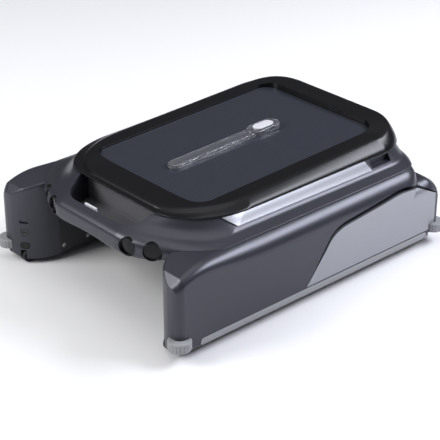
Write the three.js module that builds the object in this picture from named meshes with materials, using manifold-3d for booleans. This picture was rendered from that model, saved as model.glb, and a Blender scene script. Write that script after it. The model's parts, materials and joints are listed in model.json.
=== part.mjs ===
// Solar pool-surface skimmer: two pontoons carry a deck with a solar panel, and a
// debris basket slides in the channel between them.
// Millimetres, +Z up. The front (handle end) faces -Y and the right side is +X.
// The origin is on the floor, under the centre of the object.
import * as THREE from "three";
import { mergeVertices } from "three/addons/utils/BufferGeometryUtils.js";
import Module from "manifold-3d";

const wasm = await Module();
wasm.setup();

// ---- driving dimensions -------------------------------------------------------
const LENGTH = 558;          // over the corner rollers
const WIDTH = 436;           // over the corner rollers
const CHANNEL = 280;         // clear width between the two pontoons
const HULL_Z = 8;            // underside of the hulls above the floor
const SHOULDER_Z = 138;      // top of the pontoon shells
const BLOCK_Z = 114;         // top of the low rear block of each pontoon
const BLOCK_LENGTH = 34;     // how far the low rear block runs past the shoulder
const TAIL_Z = 101;          // where the block's top has fallen to at the tail
const SHOULDER_R = 30;       // rounding of the pontoon's outer top edge
const NOSE_W = 52;           // rounding of the pontoon's inner front corner, across
const NOSE_L = 62;           // and along
const CORNER_R = 12;         // rounding of the pontoon's outer front corner
const TAIL_R = 8;            // and of its outer rear corner
const WALL = 3;              // wall of the moulded shells
const GAP = 0.3;             // fit between two parts that touch
const PLAY = 0.6;            // fit around a part that turns or slides

const ROLLER_R = 17;
const ROLLER_H = 15;
const ROLLER_Z = 20;         // underside of a corner roller
const ROLLER_PIN_R = 2.5;
const WHEEL_R = 11;          // small wheel under each nose
const WHEEL_W = 12;
const WHEEL_AXLE_R = 1.5;
const WHEEL_X = 170;
const WHEEL_INSET = 18;      // axle behind the nose face
const SKID_INSET = 34;       // centre of the rear skid foot from the tail

const FRAME_W = 328;         // solar frame over its skirt
const FRAME_FRONT = -205;
const FRAME_REAR = 250;
const FRAME_Z = 164;         // lower edge of the skirt
const FRAME_SKIRT = 20;      // how far the skirt leans in
const RIM = 3.5;             // rim above the panel
const REAR_LIP = 5.6;        // extra rise of the rear lip
const FRONT_DIP = 5;         // fall of the frame's nose
const PANEL_W = 242;
const PANEL_FRONT = -155;
const PANEL_REAR = 206;
const PANEL_Z = 169.5;       // panel top at its front edge
const PANEL_RISE = 11;       // how much higher its rear edge is
const PANEL_T = 4;
const PANEL_R = 25;
const LEDGE = 7;             // shelf under the panel's edge
const GASKET_T = 1.5;

const GUIDE_W = 22;          // clear light guide along the panel's centreline
const GUIDE_FRONT = -107;
const GUIDE_REAR = 113;
const GUIDE_H = 6.5;
const HOUSING_W = 28;        // wider end of the guide that holds the button
const HOUSING_L = 62;
const BUTTON_W = 17;
const BUTTON_L = 38;
const BUTTON_TRAVEL = 1.5;

const DECK_FRONT = -263;     // foremost face of the handle bar
const DECK_REAR = 252;
const DECK_HALF = 191;       // half width at the parting line
const BAR_DEPTH = 17;        // handle bar, front to back
const GRIP_FRONT_HALF = 60;  // half width of the hand opening at the bar
const GRIP_REAR_HALF = 92;   // and where it runs under the frame
const GRIP_REAR = -186;
const SENSOR_R = 14;
const SENSOR_DEPTH = 9;
const LEVER_X = -16;         // release lever behind the handle bar, left of the middle
const LEVER_W = 26;
const LEVER_TRAVEL = 3;
const LEVER_Z = 132;         // underside of the lever
const LEVER_H = 18;

const TRIM_FRONT = -144;     // silver trim along the deck, at its upper edge
const TRIM_REAR = 137;

const BUMPER_Z = 15;         // lower edge of the rubbing strip
const BUMPER_H = 10;
const BUMPER_T = 3;
const PANEL_SKIN = 4;        // thickness of the silver side panel
const RECESS_BAND = 8;       // shadow groove above the side panel

const TRAY_Z = 109;          // underside of the electronics tray
const BASKET_W = 246;
const BASKET_FRONT = -92;
const BASKET_REAR = 232;
const BASKET_FLOOR = 22;
const BASKET_TOP = 96;
const FLANGE = 8;            // runner along each side of the basket
const RAIL_T = 3;
const SCREEN_T = 1;
const GATE_PIN_R = 2;

const DUCT_R = 22;           // thruster tunnel, outside
const DUCT_X = 171;
const DUCT_Z = 62;
const DUCT_L = 112;
const MOTOR_R = 15;
const MOTOR_L = 48;
const SHAFT_R = 2;
const BLADES = 3;
const INLET_W = 26;          // water inlet in the hull's floor
const INLET_L = 40;
const INLET_OFFSET = 20;     // from the tunnel's closed end

const SIDES = 24;            // facets on round parts

// ---- derived places ---------------------------------------------------------
const rollerX = WIDTH / 2 - ROLLER_R;
const rollerY = LENGTH / 2 - ROLLER_R;
const sideX = rollerX + 6.5;
const innerX = CHANNEL / 2;
const noseY = -(rollerY + 6.5);
const tailY = rollerY + 4;
const shoulderEnd = tailY - BLOCK_LENGTH;
const wheelY = noseY + WHEEL_INSET;
const skidY = tailY - SKID_INSET;
const panelTilt = Math.atan2(PANEL_RISE, PANEL_REAR - PANEL_FRONT);
const panelTop = (y) => PANEL_Z + (y - PANEL_FRONT) * Math.tan(panelTilt);
const ductFront = tailY - DUCT_L;

// ---- materials -----------------------------------------------------------------
function finish(colour, roughness, metalness = 0) {
  return new THREE.MeshStandardMaterial({ color: colour, roughness, metalness });
}
const gunmetal = finish(0x45464f, 0.35, 0.4);
const glossBlack = finish(0x1c1d20, 0.15);
const solarCell = finish(0x50535f, 0.3);
const clearPlastic = finish(0xc9ccd4, 0.1);
const silver = finish(0xa6a8ad, 0.35, 0.6);
const greyRubber = finish(0x8f8f92, 0.7);
const blackRubber = finish(0x0b0b0b, 0.8);
const darkPlastic = finish(0x29292b, 0.5);
const lensBlack = finish(0x101014, 0.08);
const steel = finish(0xb9bbbf, 0.3, 1);
const boardGreen = finish(0x1f5a3a, 0.6);
const batteryBlue = finish(0x2b4c7a, 0.5);
const palePlastic = finish(0xb5b5bb, 0.4);
const meshGrey = finish(0x55575c, 0.8);

// ---- making and joining solids --------------------------------------------------
function solid(source) {
  const bare = source.clone();
  bare.deleteAttribute("normal");
  bare.deleteAttribute("uv");
  const welded = mergeVertices(bare, 1e-4);
  const index = Array.from(welded.index.array);
  const faces = [];
  for (let i = 0; i < index.length; i += 3) {
    const [a, b, c] = index.slice(i, i + 3);
    if (a !== b && b !== c && c !== a) faces.push(a, b, c);
  }
  const vertProperties = new Float32Array(welded.getAttribute("position").array);
  const mesh = new wasm.Mesh({ numProp: 3, vertProperties, triVerts: new Uint32Array(faces) });
  return new wasm.Manifold(mesh);
}

function join(...solids) {
  return solids.reduce((whole, one) => whole.add(one));
}

function cut(body, ...tools) {
  return tools.reduce((left, tool) => left.subtract(tool), body);
}

function geometryOf(body) {
  const mesh = body.getMesh();
  const geometry = new THREE.BufferGeometry();
  geometry.setAttribute("position", new THREE.BufferAttribute(mesh.vertProperties, 3));
  geometry.setIndex(new THREE.BufferAttribute(mesh.triVerts, 1));
  return geometry;
}

function mirrored(geometry) {
  const copy = geometry.clone();
  copy.scale(-1, 1, 1);
  const index = Array.from(copy.index.array);
  for (let i = 0; i < index.length; i += 3) {
    [index[i + 1], index[i + 2]] = [index[i + 2], index[i + 1]];
  }
  copy.setIndex(index);
  return copy;
}

function block(x0, x1, y0, y1, z0, z1) {
  const box = new THREE.BoxGeometry(x1 - x0, y1 - y0, z1 - z0);
  box.translate((x0 + x1) / 2, (y0 + y1) / 2, (z0 + z1) / 2);
  return solid(box);
}

// A plan outline (X, Y) raised from z0 to z1.
function standing(shape, z0, z1, curveSegments = 6) {
  const prism = new THREE.ExtrudeGeometry(shape, { depth: z1 - z0, bevelEnabled: false, curveSegments });
  prism.translate(0, 0, z0);
  return solid(prism);
}

// A cross-section (X, Z) drawn out along Y.
function alongY(shape, y0, y1, curveSegments = 6) {
  const prism = new THREE.ExtrudeGeometry(shape, { depth: y1 - y0, bevelEnabled: false, curveSegments });
  prism.rotateX(Math.PI / 2);
  prism.translate(0, y1, 0);
  return solid(prism);
}

// A side outline (Y, Z) drawn out along X.
function alongX(shape, x0, x1, curveSegments = 6) {
  const prism = new THREE.ExtrudeGeometry(shape, { depth: x1 - x0, bevelEnabled: false, curveSegments });
  const turn = new THREE.Matrix4().makeBasis(
    new THREE.Vector3(0, 1, 0), new THREE.Vector3(0, 0, 1), new THREE.Vector3(1, 0, 0));
  prism.applyMatrix4(turn);
  prism.translate(x0, 0, 0);
  return solid(prism);
}

// A round bar from one point to another.
function rod(from, to, radius, sides = SIDES) {
  const a = new THREE.Vector3(...from);
  const b = new THREE.Vector3(...to);
  const bar = new THREE.CylinderGeometry(radius, radius, a.distanceTo(b), sides);
  const turn = new THREE.Quaternion().setFromUnitVectors(
    new THREE.Vector3(0, 1, 0), b.clone().sub(a).normalize());
  bar.applyQuaternion(turn);
  bar.translate(...a.add(b).multiplyScalar(0.5).toArray());
  return solid(bar);
}

// A turned part: [radius, height] pairs about the axis, laid along a direction.
function turned(profile, origin, direction, sides = SIDES) {
  const lathe = new THREE.LatheGeometry(profile.map(([r, h]) => new THREE.Vector2(r, h)), sides);
  const turn = new THREE.Quaternion().setFromUnitVectors(
    new THREE.Vector3(0, 1, 0), new THREE.Vector3(...direction).normalize());
  lathe.applyQuaternion(turn);
  lathe.translate(...origin);
  return solid(lathe);
}

function outline(points) {
  return new THREE.Shape(points.map(([x, y]) => new THREE.Vector2(x, y)));
}

// A rectangle with round corners, from (x0, y0) to (x1, y1).
function roundedRect(x0, x1, y0, y1, r) {
  const shape = new THREE.Shape();
  shape.moveTo(x0 + r, y0);
  shape.lineTo(x1 - r, y0);
  shape.absarc(x1 - r, y0 + r, r, -Math.PI / 2, 0, false);
  shape.lineTo(x1, y1 - r);
  shape.absarc(x1 - r, y1 - r, r, 0, Math.PI / 2, false);
  shape.lineTo(x0 + r, y1);
  shape.absarc(x0 + r, y1 - r, r, Math.PI / 2, Math.PI, false);
  shape.lineTo(x0, y0 + r);
  shape.absarc(x0 + r, y0 + r, r, Math.PI, 1.5 * Math.PI, false);
  return shape;
}

// Points of a level outline, symmetric about the centreline, whose corners are
// quarter superellipses: power 2 is an ellipse, less is closer to a chamfer.
const CORNER_STEPS = 6;
function levelRing({ half, front, rear, frontCorner, rearCorner, power = 2, height }) {
  const corners = [
    { sx: 1, y: front, sy: -1, size: frontCorner, back: false },
    { sx: 1, y: rear, sy: 1, size: rearCorner, back: true },
    { sx: -1, y: rear, sy: 1, size: rearCorner, back: false },
    { sx: -1, y: front, sy: -1, size: frontCorner, back: true },
  ];
  const points = [];
  for (const { sx, y, sy, size, back } of corners) {
    for (let i = 0; i <= CORNER_STEPS; i += 1) {
      const t = (i / CORNER_STEPS) * (Math.PI / 2);
      const angle = back ? t : Math.PI / 2 - t;
      const bend = sy < 0 ? power : 2;
      const u = Math.pow(Math.cos(angle), 2 / bend);
      const v = Math.pow(Math.sin(angle), 2 / bend);
      const px = sx * (half - size[0] + size[0] * u);
      const py = y + sy * (size[1] * v - size[1]);
      points.push(new THREE.Vector3(px, py, height(px, py)));
    }
  }
  return points;
}

// A closed skin through level rings, highest ring first, each listed
// anticlockwise seen from above.
function loft(rings) {
  const sides = rings[0].length;
  const levels = rings.length - 1;
  const skin = new THREE.CylinderGeometry(1, 1, 1, sides, levels);
  const centres = rings.map((ring) => ring.reduce(
    (sum, p) => sum.add(p), new THREE.Vector3()).multiplyScalar(1 / sides));
  const position = skin.getAttribute("position");
  for (let i = 0; i < position.count; i += 1) {
    const x = position.getX(i);
    const z = position.getZ(i);
    const level = Math.round((0.5 - position.getY(i)) * levels);
    const step = Math.round((Math.atan2(x, z) / (2 * Math.PI)) * sides);
    const onAxis = Math.hypot(x, z) < 0.5;
    const p = onAxis ? centres[level] : rings[level][(step + sides) % sides];
    position.setXYZ(i, p.x, p.y, p.z);
  }
  return solid(skin);
}

function blend(x, x0, x1) {
  const t = THREE.MathUtils.clamp((x - x0) / (x1 - x0), 0, 1);
  return t * t * (3 - 2 * t);
}

// ---- the assembly ------------------------------------------------------------------
const group = new THREE.Group();

function add(name, body, material, parent = group) {
  const mesh = new THREE.Mesh(body.isBufferGeometry ? body : geometryOf(body), material);
  mesh.name = name;
  parent.add(mesh);
}

// A right-hand part and its mirror image on the left.
function addPair(name, body, material) {
  const right = geometryOf(body);
  add(`right_${name}`, right, material);
  add(`left_${name}`, mirrored(right), material);
}

// ---- pontoons -----------------------------------------------------------------------
// The right pontoon's outside, grown by a clearance or moved inwards to make a skin.
function pontoonOutside(grow = 0, shift = 0) {
  const side = sideX + grow;
  const inner = innerX - grow;
  const front = noseY - grow;
  const plan = (rear, rearR) => {
    const shape = new THREE.Shape();
    shape.moveTo(inner, front + NOSE_L);
    shape.absellipse(inner + NOSE_W, front + NOSE_L, NOSE_W, NOSE_L, Math.PI, 1.5 * Math.PI, false, 0);
    shape.lineTo(side - CORNER_R, front);
    shape.absarc(side - CORNER_R, front + CORNER_R, CORNER_R, -Math.PI / 2, 0, false);
    shape.lineTo(side, rear - rearR);
    shape.absarc(side - rearR, rear - rearR, rearR, 0, Math.PI / 2, false);
    shape.lineTo(inner, rear);
    return shape;
  };
  const section = (top, r, slope) => {
    const shape = new THREE.Shape();
    shape.moveTo(inner, HULL_Z - grow);
    shape.lineTo(side - 7, HULL_Z - grow);
    shape.lineTo(side, HULL_Z + 8 - grow);
    shape.lineTo(side, top - slope - r + grow);
    shape.absarc(side - r, top - slope - r + grow, r, 0, Math.PI / 2, false);
    shape.lineTo(inner, top + grow);
    return shape;
  };
  const noseProfile = outline([
    [front, HULL_Z + 6 - grow], [front + 8, HULL_Z - grow], [tailY + 9, HULL_Z - grow],
    [tailY + 9, TAIL_Z - 5 + grow], [tailY, TAIL_Z + grow], [shoulderEnd + 4, TAIL_Z + 20 + grow],
    [shoulderEnd - 8, SHOULDER_Z + grow], [noseY + 62, SHOULDER_Z + grow],
    [noseY + 11 - grow, 127 + grow], [front, 114 + grow],
  ]);
  const upper = standing(plan(shoulderEnd + grow, 36), BLOCK_Z - 22, SHOULDER_Z + 9)
    .intersect(alongY(section(SHOULDER_Z, SHOULDER_R, 0), noseY - 9, tailY + 9));
  const lower = standing(plan(tailY + grow, TAIL_R), 0, BLOCK_Z + 9)
    .intersect(alongY(section(BLOCK_Z, SHOULDER_R - 8, 3), noseY - 9, tailY + 9));
  return upper.add(lower).intersect(alongX(noseProfile, 0, WIDTH)).translate([-shift, 0, 0]);
}

// Side outline (Y, Z) of the silver panel, or of the pocket that it sits in.
function sidePanelOutline(grow, above) {
  const shape = new THREE.Shape();
  const foot = BUMPER_Z + BUMPER_H + 2 - grow;
  shape.moveTo(-24 - grow, foot);
  shape.lineTo(22 - grow, 84 + above);
  shape.quadraticCurveTo(34 - grow, 99 + above, 62, 101 + above);
  shape.lineTo(150, 109 + above);
  shape.quadraticCurveTo(198, 117 + above, shoulderEnd, 99 + 0.5 * above);
  shape.lineTo(shoulderEnd + 24 + grow, 87 + 0.25 * above);
  shape.lineTo(shoulderEnd + 24 + grow, foot);
  return shape;
}

const pontoonSolid = pontoonOutside();
const sidePocket = alongX(sidePanelOutline(GAP, RECESS_BAND), innerX + 20, WIDTH)
  .subtract(pontoonOutside(0, PANEL_SKIN + GAP));
const bumperReach = rollerY - ROLLER_R - 15;
const bumperOutline = roundedRect(
  -bumperReach, bumperReach + 8, BUMPER_Z, BUMPER_Z + BUMPER_H, BUMPER_H / 2 - 0.1);
const bumperSeat = roundedRect(
  -bumperReach - GAP, bumperReach + 8 + GAP, BUMPER_Z - GAP, BUMPER_Z + BUMPER_H + GAP, BUMPER_H / 2);
const cavityFront = noseY + NOSE_L;
const cavityFloor = HULL_Z + WALL;
const pontoonCavity = join(
  block(
    innerX - 1, sideX - PANEL_SKIN - WALL - 1, cavityFront, tailY - WALL - 5, cavityFloor, BLOCK_Z - 20),
  block(
    innerX - 1, sideX - SHOULDER_R, cavityFront, shoulderEnd - 20, cavityFloor, SHOULDER_Z - WALL - 1));
// The cover's outline is an L: full height along the shoulder, low along the rear block.
function coverPlate(grow, x0, x1) {
  const front = noseY + NOSE_L - 3 - grow;
  const step = shoulderEnd - 17 + grow;
  const rear = tailY - WALL - 2 + grow;
  const foot = HULL_Z + WALL - grow;
  const low = BLOCK_Z - 17 + grow;
  const high = SHOULDER_Z - WALL + grow;
  return alongX(outline([
    [front, foot], [rear, foot], [rear, low], [step, low], [step, high],
    [front + 26, high], [front, high - 8],
  ]), x0, x1);
}
const rollerTop = ROLLER_Z + ROLLER_H;
const rollerPockets = [-1, 1].map((end) => rod(
  [rollerX, end * rollerY, -1], [rollerX, end * rollerY, rollerTop + PLAY], ROLLER_R + 2.5, SIDES));
const rollerPinHoles = [-1, 1].map((end) => rod(
  [rollerX, end * rollerY, ROLLER_Z], [rollerX, end * rollerY, rollerTop + 22], ROLLER_PIN_R + GAP, 12));
// A bar along the nose wheel's axle, reaching past each face of the wheel.
const alongAxle = (reach, radius, sides) => rod(
  [WHEEL_X - WHEEL_W / 2 - reach, wheelY, WHEEL_R], [WHEEL_X + WHEEL_W / 2 + reach, wheelY, WHEEL_R],
  radius, sides);
const wheelSlot = block(
  WHEEL_X - WHEEL_W / 2 - 1, WHEEL_X + WHEEL_W / 2 + 1,
  wheelY - WHEEL_R - 1.5, wheelY + WHEEL_R + 1.5, 0, 2 * WHEEL_R + 1);
const wheelAxleHole = alongAxle(5, WHEEL_AXLE_R + GAP, 12);
const ductHole = rod([DUCT_X, tailY - 20, DUCT_Z], [DUCT_X, tailY + 5, DUCT_Z], DUCT_R + GAP, 32);
const inletFront = ductFront + INLET_OFFSET;
const inletRear = inletFront + INLET_L;
const inlet = block(
  DUCT_X - INLET_W / 2, DUCT_X + INLET_W / 2, inletFront, inletRear, 0, DUCT_Z - DUCT_R + 8);

const COVER_SCREWS = [[noseY + NOSE_L + 3, HULL_Z + 14], [noseY + NOSE_L + 49, HULL_Z + 14]];
const screwHoles = COVER_SCREWS.map(([y, z]) => rod([innerX - 1, y, z], [innerX + 12, y, z], 2.3, 8));
const screwBosses = COVER_SCREWS.map(([y, z]) => rod([innerX + 3.3, y, z], [innerX + 16, y, z], 4.5, 12));
const screwBossFeet = COVER_SCREWS.map(([y]) => block(
  innerX + 5, innerX + 14, y - 2, y + 2, HULL_Z + 1, HULL_Z + 12));

const bareShell = cut(
  pontoonSolid, pontoonCavity, coverPlate(GAP, innerX - 1, innerX + WALL + GAP));
const pontoonShell = cut(
  join(bareShell, ...screwBosses, ...screwBossFeet),
  sidePocket, alongX(bumperSeat, sideX - BUMPER_T, sideX + 5),
  ...rollerPockets, ...rollerPinHoles, wheelSlot, wheelAxleHole, ductHole, inlet, ...screwHoles);
add("right_pontoon_shell", pontoonShell, gunmetal);

// Service points on the left nose, on the round inner corner: a slot, a drain plug
// and a flap over the charging contacts. Each is drawn flat and then set on the corner.
const NOSE_BEARING = THREE.MathUtils.degToRad(37);
const NOSE_SLOT_Z = 71;
const PLUG_Z = 54;
const PLUG_R = 6.5;
const FLAP_Z = 31;
const FLAP_W = 15;
const FLAP_H = 10;
const FLAP_T = 2.5;
const noseNormal = new THREE.Vector3(Math.sin(NOSE_BEARING), -Math.cos(NOSE_BEARING), 0);
const noseTangent = new THREE.Vector3(Math.cos(NOSE_BEARING), Math.sin(NOSE_BEARING), 0);
function onLeftNose(body, z) {
  const reach = Math.hypot(NOSE_W * noseNormal.x, NOSE_L * noseNormal.y);
  const x = -(innerX + NOSE_W) + (NOSE_W ** 2 * noseNormal.x) / reach;
  const y = noseY + NOSE_L + (NOSE_L ** 2 * noseNormal.y) / reach;
  const place = new THREE.Matrix4().makeBasis(noseTangent, new THREE.Vector3(0, 0, 1), noseNormal);
  place.setPosition(x, y, z);
  const geometry = geometryOf(body);
  geometry.applyMatrix4(place);
  return solid(geometry);
}
const oval = (w, h) => roundedRect(-w / 2, w / 2, -h / 2, h / 2, Math.min(w, h) / 2 - 0.05);
const noseSlot = standing(roundedRect(-7, 7, -2.5, 2.5, 1), -3, 5, 2);
const plugSeat = standing(oval(2 * (PLUG_R + GAP), 2 * (PLUG_R + GAP)), -5, 5);
const flapSeat = standing(oval(FLAP_W + 2 * PLAY, FLAP_H + 2 * PLAY), -FLAP_T - PLAY, 5, 4);
const leftShell = cut(
  solid(mirrored(geometryOf(pontoonShell))),
  onLeftNose(noseSlot, NOSE_SLOT_Z), onLeftNose(plugSeat, PLUG_Z), onLeftNose(flapSeat, FLAP_Z));
add("left_pontoon_shell", leftShell, gunmetal);
const drainPlug = standing(oval(2 * PLUG_R, 2 * PLUG_R), -4.5, -0.2)
  .subtract(standing(roundedRect(-4, 4, -0.9, 0.9, 0.3), -1.4, 5, 1));
add("drain_plug", onLeftNose(drainPlug, PLUG_Z), darkPlastic);
add("charge_flap", onLeftNose(standing(oval(FLAP_W, FLAP_H), -FLAP_T, -0.1, 4), FLAP_Z), blackRubber);

const pontoonCover = cut(coverPlate(0, innerX, innerX + WALL), ...screwHoles);
addPair("pontoon_cover", pontoonCover, darkPlastic);

const sidePanel = alongX(sidePanelOutline(0, 0), innerX + 20, WIDTH)
  .subtract(pontoonOutside(0, PANEL_SKIN)).intersect(pontoonSolid);
addPair("side_panel", cut(sidePanel, ...rollerPockets), silver);

const bumperStrip = alongX(bumperOutline, sideX - BUMPER_T + GAP, sideX + 1.5);
addPair("bumper_strip", bumperStrip, greyRubber);

COVER_SCREWS.forEach(([y, z], i) => {
  const screw = turned(
    [[0, 0], [3.6, 0], [3.2, 1.6], [2, 1.8], [2, 9], [0, 10.5]], [innerX - 2, y, z], [1, 0, 0], 12);
  addPair(i === 0 ? "front_cover_screw" : "rear_cover_screw", screw, steel);
});

// ---- corner rollers, nose wheels and rear feet -------------------------------------
const ROLLER_RIBS = 16;
function roller(end) {
  const half = ROLLER_H / 2;
  const y = end * rollerY;
  const tyre = turned(
    [[0, -half], [ROLLER_R - 1.5, -half], [ROLLER_R, 1.5 - half], [ROLLER_R, half - 1.5],
      [ROLLER_R - 1.5, half], [0, half]],
    [rollerX, y, ROLLER_Z + half], [0, 0, 1], 2 * ROLLER_RIBS);
  return tyre.subtract(rod([rollerX, y, 0], [rollerX, y, 60], ROLLER_PIN_R + PLAY / 2, 12));
}
function rollerPin(end) {
  return turned(
    [[0, -1.8], [5, -1.8], [5, -PLAY], [ROLLER_PIN_R, -PLAY],
      [ROLLER_PIN_R, ROLLER_H + 20], [0, ROLLER_H + 20]],
    [rollerX, end * rollerY, ROLLER_Z], [0, 0, 1], 12);
}
for (const [place, end] of [["front", -1], ["rear", 1]]) {
  addPair(`${place}_roller`, roller(end), greyRubber);
  addPair(`${place}_roller_pin`, rollerPin(end), steel);
}

const noseWheel = alongAxle(0, WHEEL_R, SIDES).subtract(alongAxle(2, WHEEL_AXLE_R + PLAY / 2, 12));
addPair("nose_wheel", noseWheel, blackRubber);
addPair("nose_axle", alongAxle(4, WHEEL_AXLE_R, 12), steel);

const skidFoot = standing(
  roundedRect(WHEEL_X - 10, WHEEL_X + 10, skidY - 16, skidY + 16, 8), 0, HULL_Z - GAP);
addPair("skid_foot", skidFoot, blackRubber);

// ---- thrusters -----------------------------------------------------------------------
const ductBore = DUCT_R - WALL;
const SEAL_R = 6;
const SEAL_L = 8;
const inletChute = block(
  DUCT_X - INLET_W / 2 - WALL, DUCT_X + INLET_W / 2 + WALL, inletFront - WALL, inletRear + WALL,
  HULL_Z + WALL + GAP, DUCT_Z);
const duct = cut(
  join(rod([DUCT_X, ductFront, DUCT_Z], [DUCT_X, tailY + 2, DUCT_Z], DUCT_R, 32), inletChute),
  rod([DUCT_X, ductFront + SEAL_L, DUCT_Z], [DUCT_X, tailY + 5, DUCT_Z], ductBore, 32),
  rod([DUCT_X, ductFront - 5, DUCT_Z], [DUCT_X, ductFront + 10, DUCT_Z], SEAL_R + GAP, 16),
  inlet);
addPair("thruster_duct", duct, darkPlastic);

const shaftSeal = cut(
  rod([DUCT_X, ductFront, DUCT_Z], [DUCT_X, ductFront + SEAL_L, DUCT_Z], SEAL_R, 16),
  rod([DUCT_X, ductFront - 5, DUCT_Z], [DUCT_X, ductFront + 10, DUCT_Z], SHAFT_R + PLAY / 2, 12));
addPair("shaft_seal", shaftSeal, blackRubber);

const motorRear = ductFront - 1;
const motorFront = motorRear - MOTOR_L;
const motor = cut(
  turned(
    [[0, 0], [MOTOR_R - 3, 0], [MOTOR_R, 3], [MOTOR_R, MOTOR_L - 8],
      [7, MOTOR_L - 8], [7, MOTOR_L], [0, MOTOR_L]],
    [DUCT_X, motorFront, DUCT_Z], [0, 1, 0], 20),
  rod([DUCT_X, motorRear - 12, DUCT_Z], [DUCT_X, motorRear + 5, DUCT_Z], SHAFT_R + PLAY / 2, 12));
addPair("thruster_motor", motor, steel);

const propellerY = inletRear + 14;
const shaft = rod([DUCT_X, motorRear - 10, DUCT_Z], [DUCT_X, propellerY + 7, DUCT_Z], SHAFT_R, 12);
addPair("drive_shaft", shaft, steel);
const bladeTip = ductBore - 2;
const bladeRoot = 4;
const BLADE_PITCH = 0.6;
const hub = turned(
  [[0, -8], [6, -8], [6.5, 5], [4, 10], [0, 11]], [DUCT_X, propellerY, DUCT_Z], [0, 1, 0], 16);
function propellerBlade(turn) {
  const blade = new THREE.BoxGeometry(bladeTip - bladeRoot, 1.8, 11);
  blade.translate((bladeTip + bladeRoot) / 2, 0, 0);
  blade.rotateX(BLADE_PITCH);
  blade.rotateY(turn);
  blade.translate(DUCT_X, propellerY - 1, DUCT_Z);
  return solid(blade);
}
const bladeTurns = Array.from({ length: BLADES }, (_, i) => (i / BLADES) * 2 * Math.PI);
const shaftBore = rod(
  [DUCT_X, propellerY - 20, DUCT_Z], [DUCT_X, propellerY + 7 + GAP, DUCT_Z], SHAFT_R + GAP, 12);
addPair("propeller", join(hub, ...bladeTurns.map(propellerBlade)).subtract(shaftBore), darkPlastic);

// ---- deck shell --------------------------------------------------------------------
// Levels of the deck's outside, from the seat of the frame down to its lower rim.
function deckOutside(grow = 0) {
  const tier = (half, front, rear, corner, power, zFront, zSide, zRear) => levelRing({
    half: half + grow,
    front: front - grow,
    rear: rear + grow,
    frontCorner: corner,
    rearCorner: [60, 60],
    power,
    height: (x, y) => THREE.MathUtils.lerp(
      THREE.MathUtils.lerp(zFront, zSide, blend(y, DECK_FRONT + 6, DECK_FRONT + 85)),
      zRear, blend(y, DECK_REAR - 38, DECK_REAR - 8)),
  });
  const seat = FRAME_Z - GAP;
  return loft([
    tier(DECK_HALF - 32, DECK_FRONT + 52, DECK_REAR - 9, [84, 110], 2, seat, seat, seat),
    tier(DECK_HALF - 29, DECK_FRONT + 46, DECK_REAR - 8, [92, 110], 1.9, seat - 2, seat - 4, seat - 4),
    tier(DECK_HALF - 23, DECK_FRONT + 35, DECK_REAR - 6, [104, 108], 1.75, seat - 6, seat - 13, seat - 13),
    tier(DECK_HALF - 17, DECK_FRONT + 19, DECK_REAR - 4, [116, 104], 1.6, seat - 13, seat - 20, seat - 20),
    tier(DECK_HALF - 9, DECK_FRONT + 8, DECK_REAR - 2, [122, 100], 1.6, seat - 18.5, seat - 23, seat - 25),
    tier(DECK_HALF - 3, DECK_FRONT + 2, DECK_REAR, [126, 96], 1.6, seat - 25, seat - 25, seat - 30),
    tier(DECK_HALF, DECK_FRONT, DECK_REAR, [128, 95], 1.6, seat - 35, seat - 26, seat - 36),
    tier(DECK_HALF - 1, DECK_FRONT + 1.5, DECK_REAR - 2, [127, 95], 1.6, seat - 45, seat - 28.2, seat - 44),
    tier(DECK_HALF - 2, DECK_FRONT + 7, DECK_REAR - 4, [126, 95], 1.6, TRAY_Z + 4, seat - 30, TRAY_Z + 2),
  ]);
}

function gripOutline(grow) {
  const bar = DECK_FRONT + BAR_DEPTH - grow;
  const shape = new THREE.Shape();
  shape.moveTo(-GRIP_FRONT_HALF + 14, bar);
  shape.lineTo(GRIP_FRONT_HALF - 14, bar);
  shape.quadraticCurveTo(GRIP_FRONT_HALF + 6 + grow, bar, GRIP_FRONT_HALF + 17 + grow, bar + 19);
  shape.lineTo(GRIP_REAR_HALF + grow, GRIP_REAR + grow);
  shape.lineTo(-GRIP_REAR_HALF - grow, GRIP_REAR + grow);
  shape.lineTo(-GRIP_FRONT_HALF - 17 - grow, bar + 19);
  shape.quadraticCurveTo(-GRIP_FRONT_HALF - 6 - grow, bar, -GRIP_FRONT_HALF + 14, bar);
  return shape;
}

// Each sensor looks out along its own bearing, measured from straight ahead.
const SENSORS = [
  { name: "corner_left_sensor", x: -122, y: DECK_FRONT + 21, bearing: -46 },
  { name: "front_left_sensor", x: -86, y: DECK_FRONT + 4.5, bearing: -14 },
  { name: "front_right_sensor", x: 86, y: DECK_FRONT + 4.5, bearing: 14 },
  { name: "corner_right_sensor", x: 122, y: DECK_FRONT + 21, bearing: 46 },
];
const SENSOR_Z = 129.5;
function sensorAxis({ bearing }) {
  const a = THREE.MathUtils.degToRad(bearing);
  return [Math.sin(a), -Math.cos(a), 0];
}
function sensorPoint({ x, y, bearing }, outward) {
  const [dx, dy] = sensorAxis({ bearing });
  return [x + dx * outward, y + dy * outward, SENSOR_Z];
}

const ARCH_RISE = 8;
const ARCH_HALF = 72;
const archR = (ARCH_HALF ** 2 + ARCH_RISE ** 2) / (2 * ARCH_RISE);
const archTop = TRAY_Z + 4 + ARCH_RISE;
const hollowFront = GRIP_REAR + WALL + 1;
const hollowRear = DECK_REAR - 16;
const hollowTier = (z) => levelRing({
  half: innerX + 8, front: hollowFront, rear: hollowRear,
  frontCorner: [85, 100], rearCorner: [45, 45], height: () => z });
const deckHollow = join(
  loft([hollowTier(FRAME_Z - WALL - 2), hollowTier(SHOULDER_Z - 3)]),
  block(-(innerX + 8), innerX + 8, hollowFront, hollowRear, 0, SHOULDER_Z - 1));
const deckWindow = standing(
  roundedRect(-PANEL_W / 2 + 14, PANEL_W / 2 - 14, PANEL_FRONT + 14, PANEL_REAR - 14, 20), 150, 200, 3);
const pontoonClear = pontoonOutside(GAP);
const pontoonClearLeft = solid(mirrored(geometryOf(pontoonClear)));
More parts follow.
